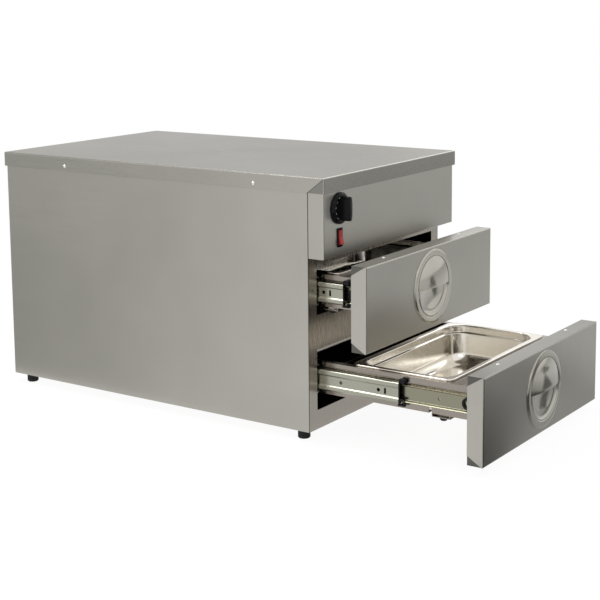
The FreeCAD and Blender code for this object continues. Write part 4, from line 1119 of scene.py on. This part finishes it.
def make_cards():
    """Grey cards round the object, which give the sheet metal its tones."""
    def flat(height, *corners):
        """Corners of a level card."""
        return [(x, y, height) for x, y in corners]

    low, above, top = 2 * MM, 3 * MM, 4 * MM        # cards that overlap lie on one another
    make_card("card under the drawers",
              flat(low, (-0.24, -0.2), (-0.24, -0.49), (0.25, -0.49), (0.25, -0.2)), 0.7)
    make_card("card in front",
              flat(low, (-0.7, -0.49), (-0.7, -3.0), (4.0, -3.0), (4.0, -0.2), (0.25, -0.2),
                   (0.25, -0.49)), stops=(
                  (-0.15, 0.05), (0.05, 0.25), (0.25, 0.52), (0.6, 0.78), (1.1, 0.78), (2.4, 0.54)))
    make_card("card by the lower front",
              flat(above, (-0.7, -0.49), (-0.7, -1.0), (0.15, -0.8), (0.33, -0.49)), 1.0,
              (1, 2.05, 0), ((-1.3, 0.1), (-1.17, 0.12), (-1.08, 0.42), (-0.95, 0.5), (-0.7, 0.5)))
    make_card("card on the left", flat(low, (-0.25, -1.5), (-0.25, 5.0), (-5.0, 5.0), (-5.0, -1.5)),
              1.0, (0.75, 1, 0), ((-0.45, 1.0), (-0.2, 0.93), (0.2, 0.6), (0.45, 0.5)))
    make_card("near flag",
              flat(top, (0.21, -0.69), (0.32, -0.59), (0.68, -0.95), (0.64, -0.98)), 0.16)
    make_card("far flag", flat(top, (0.76, -1.08), (0.93, -0.88), (2.4, -2.25), (2.1, -2.35)), 0.18)
    make_card("strip on the right",
              [(2.6, -0.4, 1.45), (2.6, 1.2, 1.45), (2.6, 1.2, 2.1), (2.6, -0.4, 2.1)], 2.8)
    make_card("strip on the left",
              flat(2.3, (-2.5, 0.7), (-1.1, 0.7), (-1.1, 1.6), (-2.5, 1.6)), 8.0)


def make_lamp(name, place, target, size, power):
    """Large soft lamp."""
    data = bpy.data.lights.new(name, "AREA")
    data.shape, data.size, data.energy = "SQUARE", size, power
    lamp = linked(name, data)
    aim = (Vector(target) - Vector(place)).to_track_quat("-Z", "Y")
    lamp.matrix_world = Matrix.Translation(place) @ aim.to_matrix().to_4x4()


def make_lamps():
    """One soft lamp overhead and a weaker one from the front left."""
    key = settings().studio.key
    make_lamp("overhead", (-0.35, 0.75, 2.4), (0, 0, 0.2), 0.8, key)
    make_lamp("front", (-1.4, -1.6, 1.8), (0, 0, 0.2), 1.0, key * 0.3)


# --- operators
class CABINET_OT_stage(bpy.types.Operator):
    """Makes the camera, the lamps, the backdrop and the floor"""
    bl_idname = "cabinet.stage"
    bl_label = "Stage"

    def execute(self, context):
        context.scene.view_settings.view_transform = "Standard"
        make_camera()
        make_world()
        make_floor()
        make_cards()
        make_lamps()
        return {"FINISHED"}


class CABINET_OT_finishes(bpy.types.Operator):
    """Gives the sheet metal and the inner fittings their finishes"""
    bl_idname = "cabinet.finishes"
    bl_label = "Finishes"

    def execute(self, context):
        make_materials()
        finish_nodes()
        return {"FINISHED"}


class CABINET_OT_pans(bpy.types.Operator):
    """Makes the pans"""
    bl_idname = "cabinet.pans"
    bl_label = "Pans"

    def execute(self, context):
        for level in LEVELS:
            make_pan(level)
        return {"FINISHED"}


class CABINET_OT_pulls(bpy.types.Operator):
    """Makes the round pulls of the fronts"""
    bl_idname = "cabinet.pulls"
    bl_label = "Pulls"

    def execute(self, context):
        for level in LEVELS:
            make_pull(level)
        return {"FINISHED"}


class CABINET_OT_slides(bpy.types.Operator):
    """Makes the slides' rails, ball cages and plastic clips"""
    bl_idname = "cabinet.slides"
    bl_label = "Slides"

    def execute(self, context):
        tree = ball_tree()
        for level in LEVELS:
            for side in SIDES:
                make_rails(level, side)
                make_cages(level, side, tree)
                make_clips(level, side)
        return {"FINISHED"}


class CABINET_OT_screws(bpy.types.Operator):
    """Makes the screws of the casing and the fronts"""
    bl_idname = "cabinet.screws"
    bl_label = "Screws"

    def execute(self, context):
        make_screws()
        return {"FINISHED"}


class CABINET_OT_dial(bpy.types.Operator):
    """Makes the dial with its scale marks"""
    bl_idname = "cabinet.dial"
    bl_label = "Dial"

    def execute(self, context):
        make_dial()
        return {"FINISHED"}


class CABINET_OT_switch(bpy.types.Operator):
    """Makes the rocker switch"""
    bl_idname = "cabinet.switch"
    bl_label = "Switch"

    def execute(self, context):
        make_switch()
        return {"FINISHED"}


class CABINET_OT_rubber(bpy.types.Operator):
    """Makes the feet and the drawer stops"""
    bl_idname = "cabinet.rubber"
    bl_label = "Feet and stops"

    def execute(self, context):
        make_rubber()
        return {"FINISHED"}


class CABINET_OT_gland(bpy.types.Operator):
    """Makes the cable gland on the back"""
    bl_idname = "cabinet.gland"
    bl_label = "Cable gland"

    def execute(self, context):
        make_gland()
        return {"FINISHED"}


OPERATORS = (CABINET_OT_stage, CABINET_OT_finishes, CABINET_OT_pans, CABINET_OT_pulls,
             CABINET_OT_slides, CABINET_OT_screws, CABINET_OT_dial, CABINET_OT_switch,
             CABINET_OT_rubber, CABINET_OT_gland)


class CABINET_PT_main(bpy.types.Panel):
    """Lists the cabinet's settings and its makers"""
    bl_idname = "CABINET_PT_main"
    bl_label = "Heated Drawer Cabinet"
    bl_space_type = "VIEW_3D"
    bl_region_type = "UI"
    bl_category = "Cabinet"

    def draw(self, context):
        for group in ("finishes", "pull", "pan", "slide", "dial", "screw", "studio"):
            box = self.layout.box()
            values = getattr(context.scene.heated_cabinet, group)
            for name in values.__annotations__:
                box.prop(values, name)
        for operator in OPERATORS:
            self.layout.operator(operator.bl_idname)


CLASSES = (CabinetFinishes, PullSizes, PanSizes, SlideSizes, DialSizes, ScrewSizes,
           StudioSettings, CabinetSettings, *OPERATORS, CABINET_PT_main)


def register():
    """Registers the classes and the scene's settings."""
    for item in CLASSES:
        bpy.utils.register_class(item)
    bpy.types.Scene.heated_cabinet = PointerProperty(type=CabinetSettings)


def unregister():
    """Takes the settings and the classes away again."""
    del bpy.types.Scene.heated_cabinet
    for item in reversed(CLASSES):
        bpy.utils.unregister_class(item)


def main():
    """Makes the whole cabinet."""
    register()
    for operator in OPERATORS:
        getattr(bpy.ops.cabinet, operator.bl_idname.removeprefix("cabinet."))()


if __name__ == "__main__":
    main()
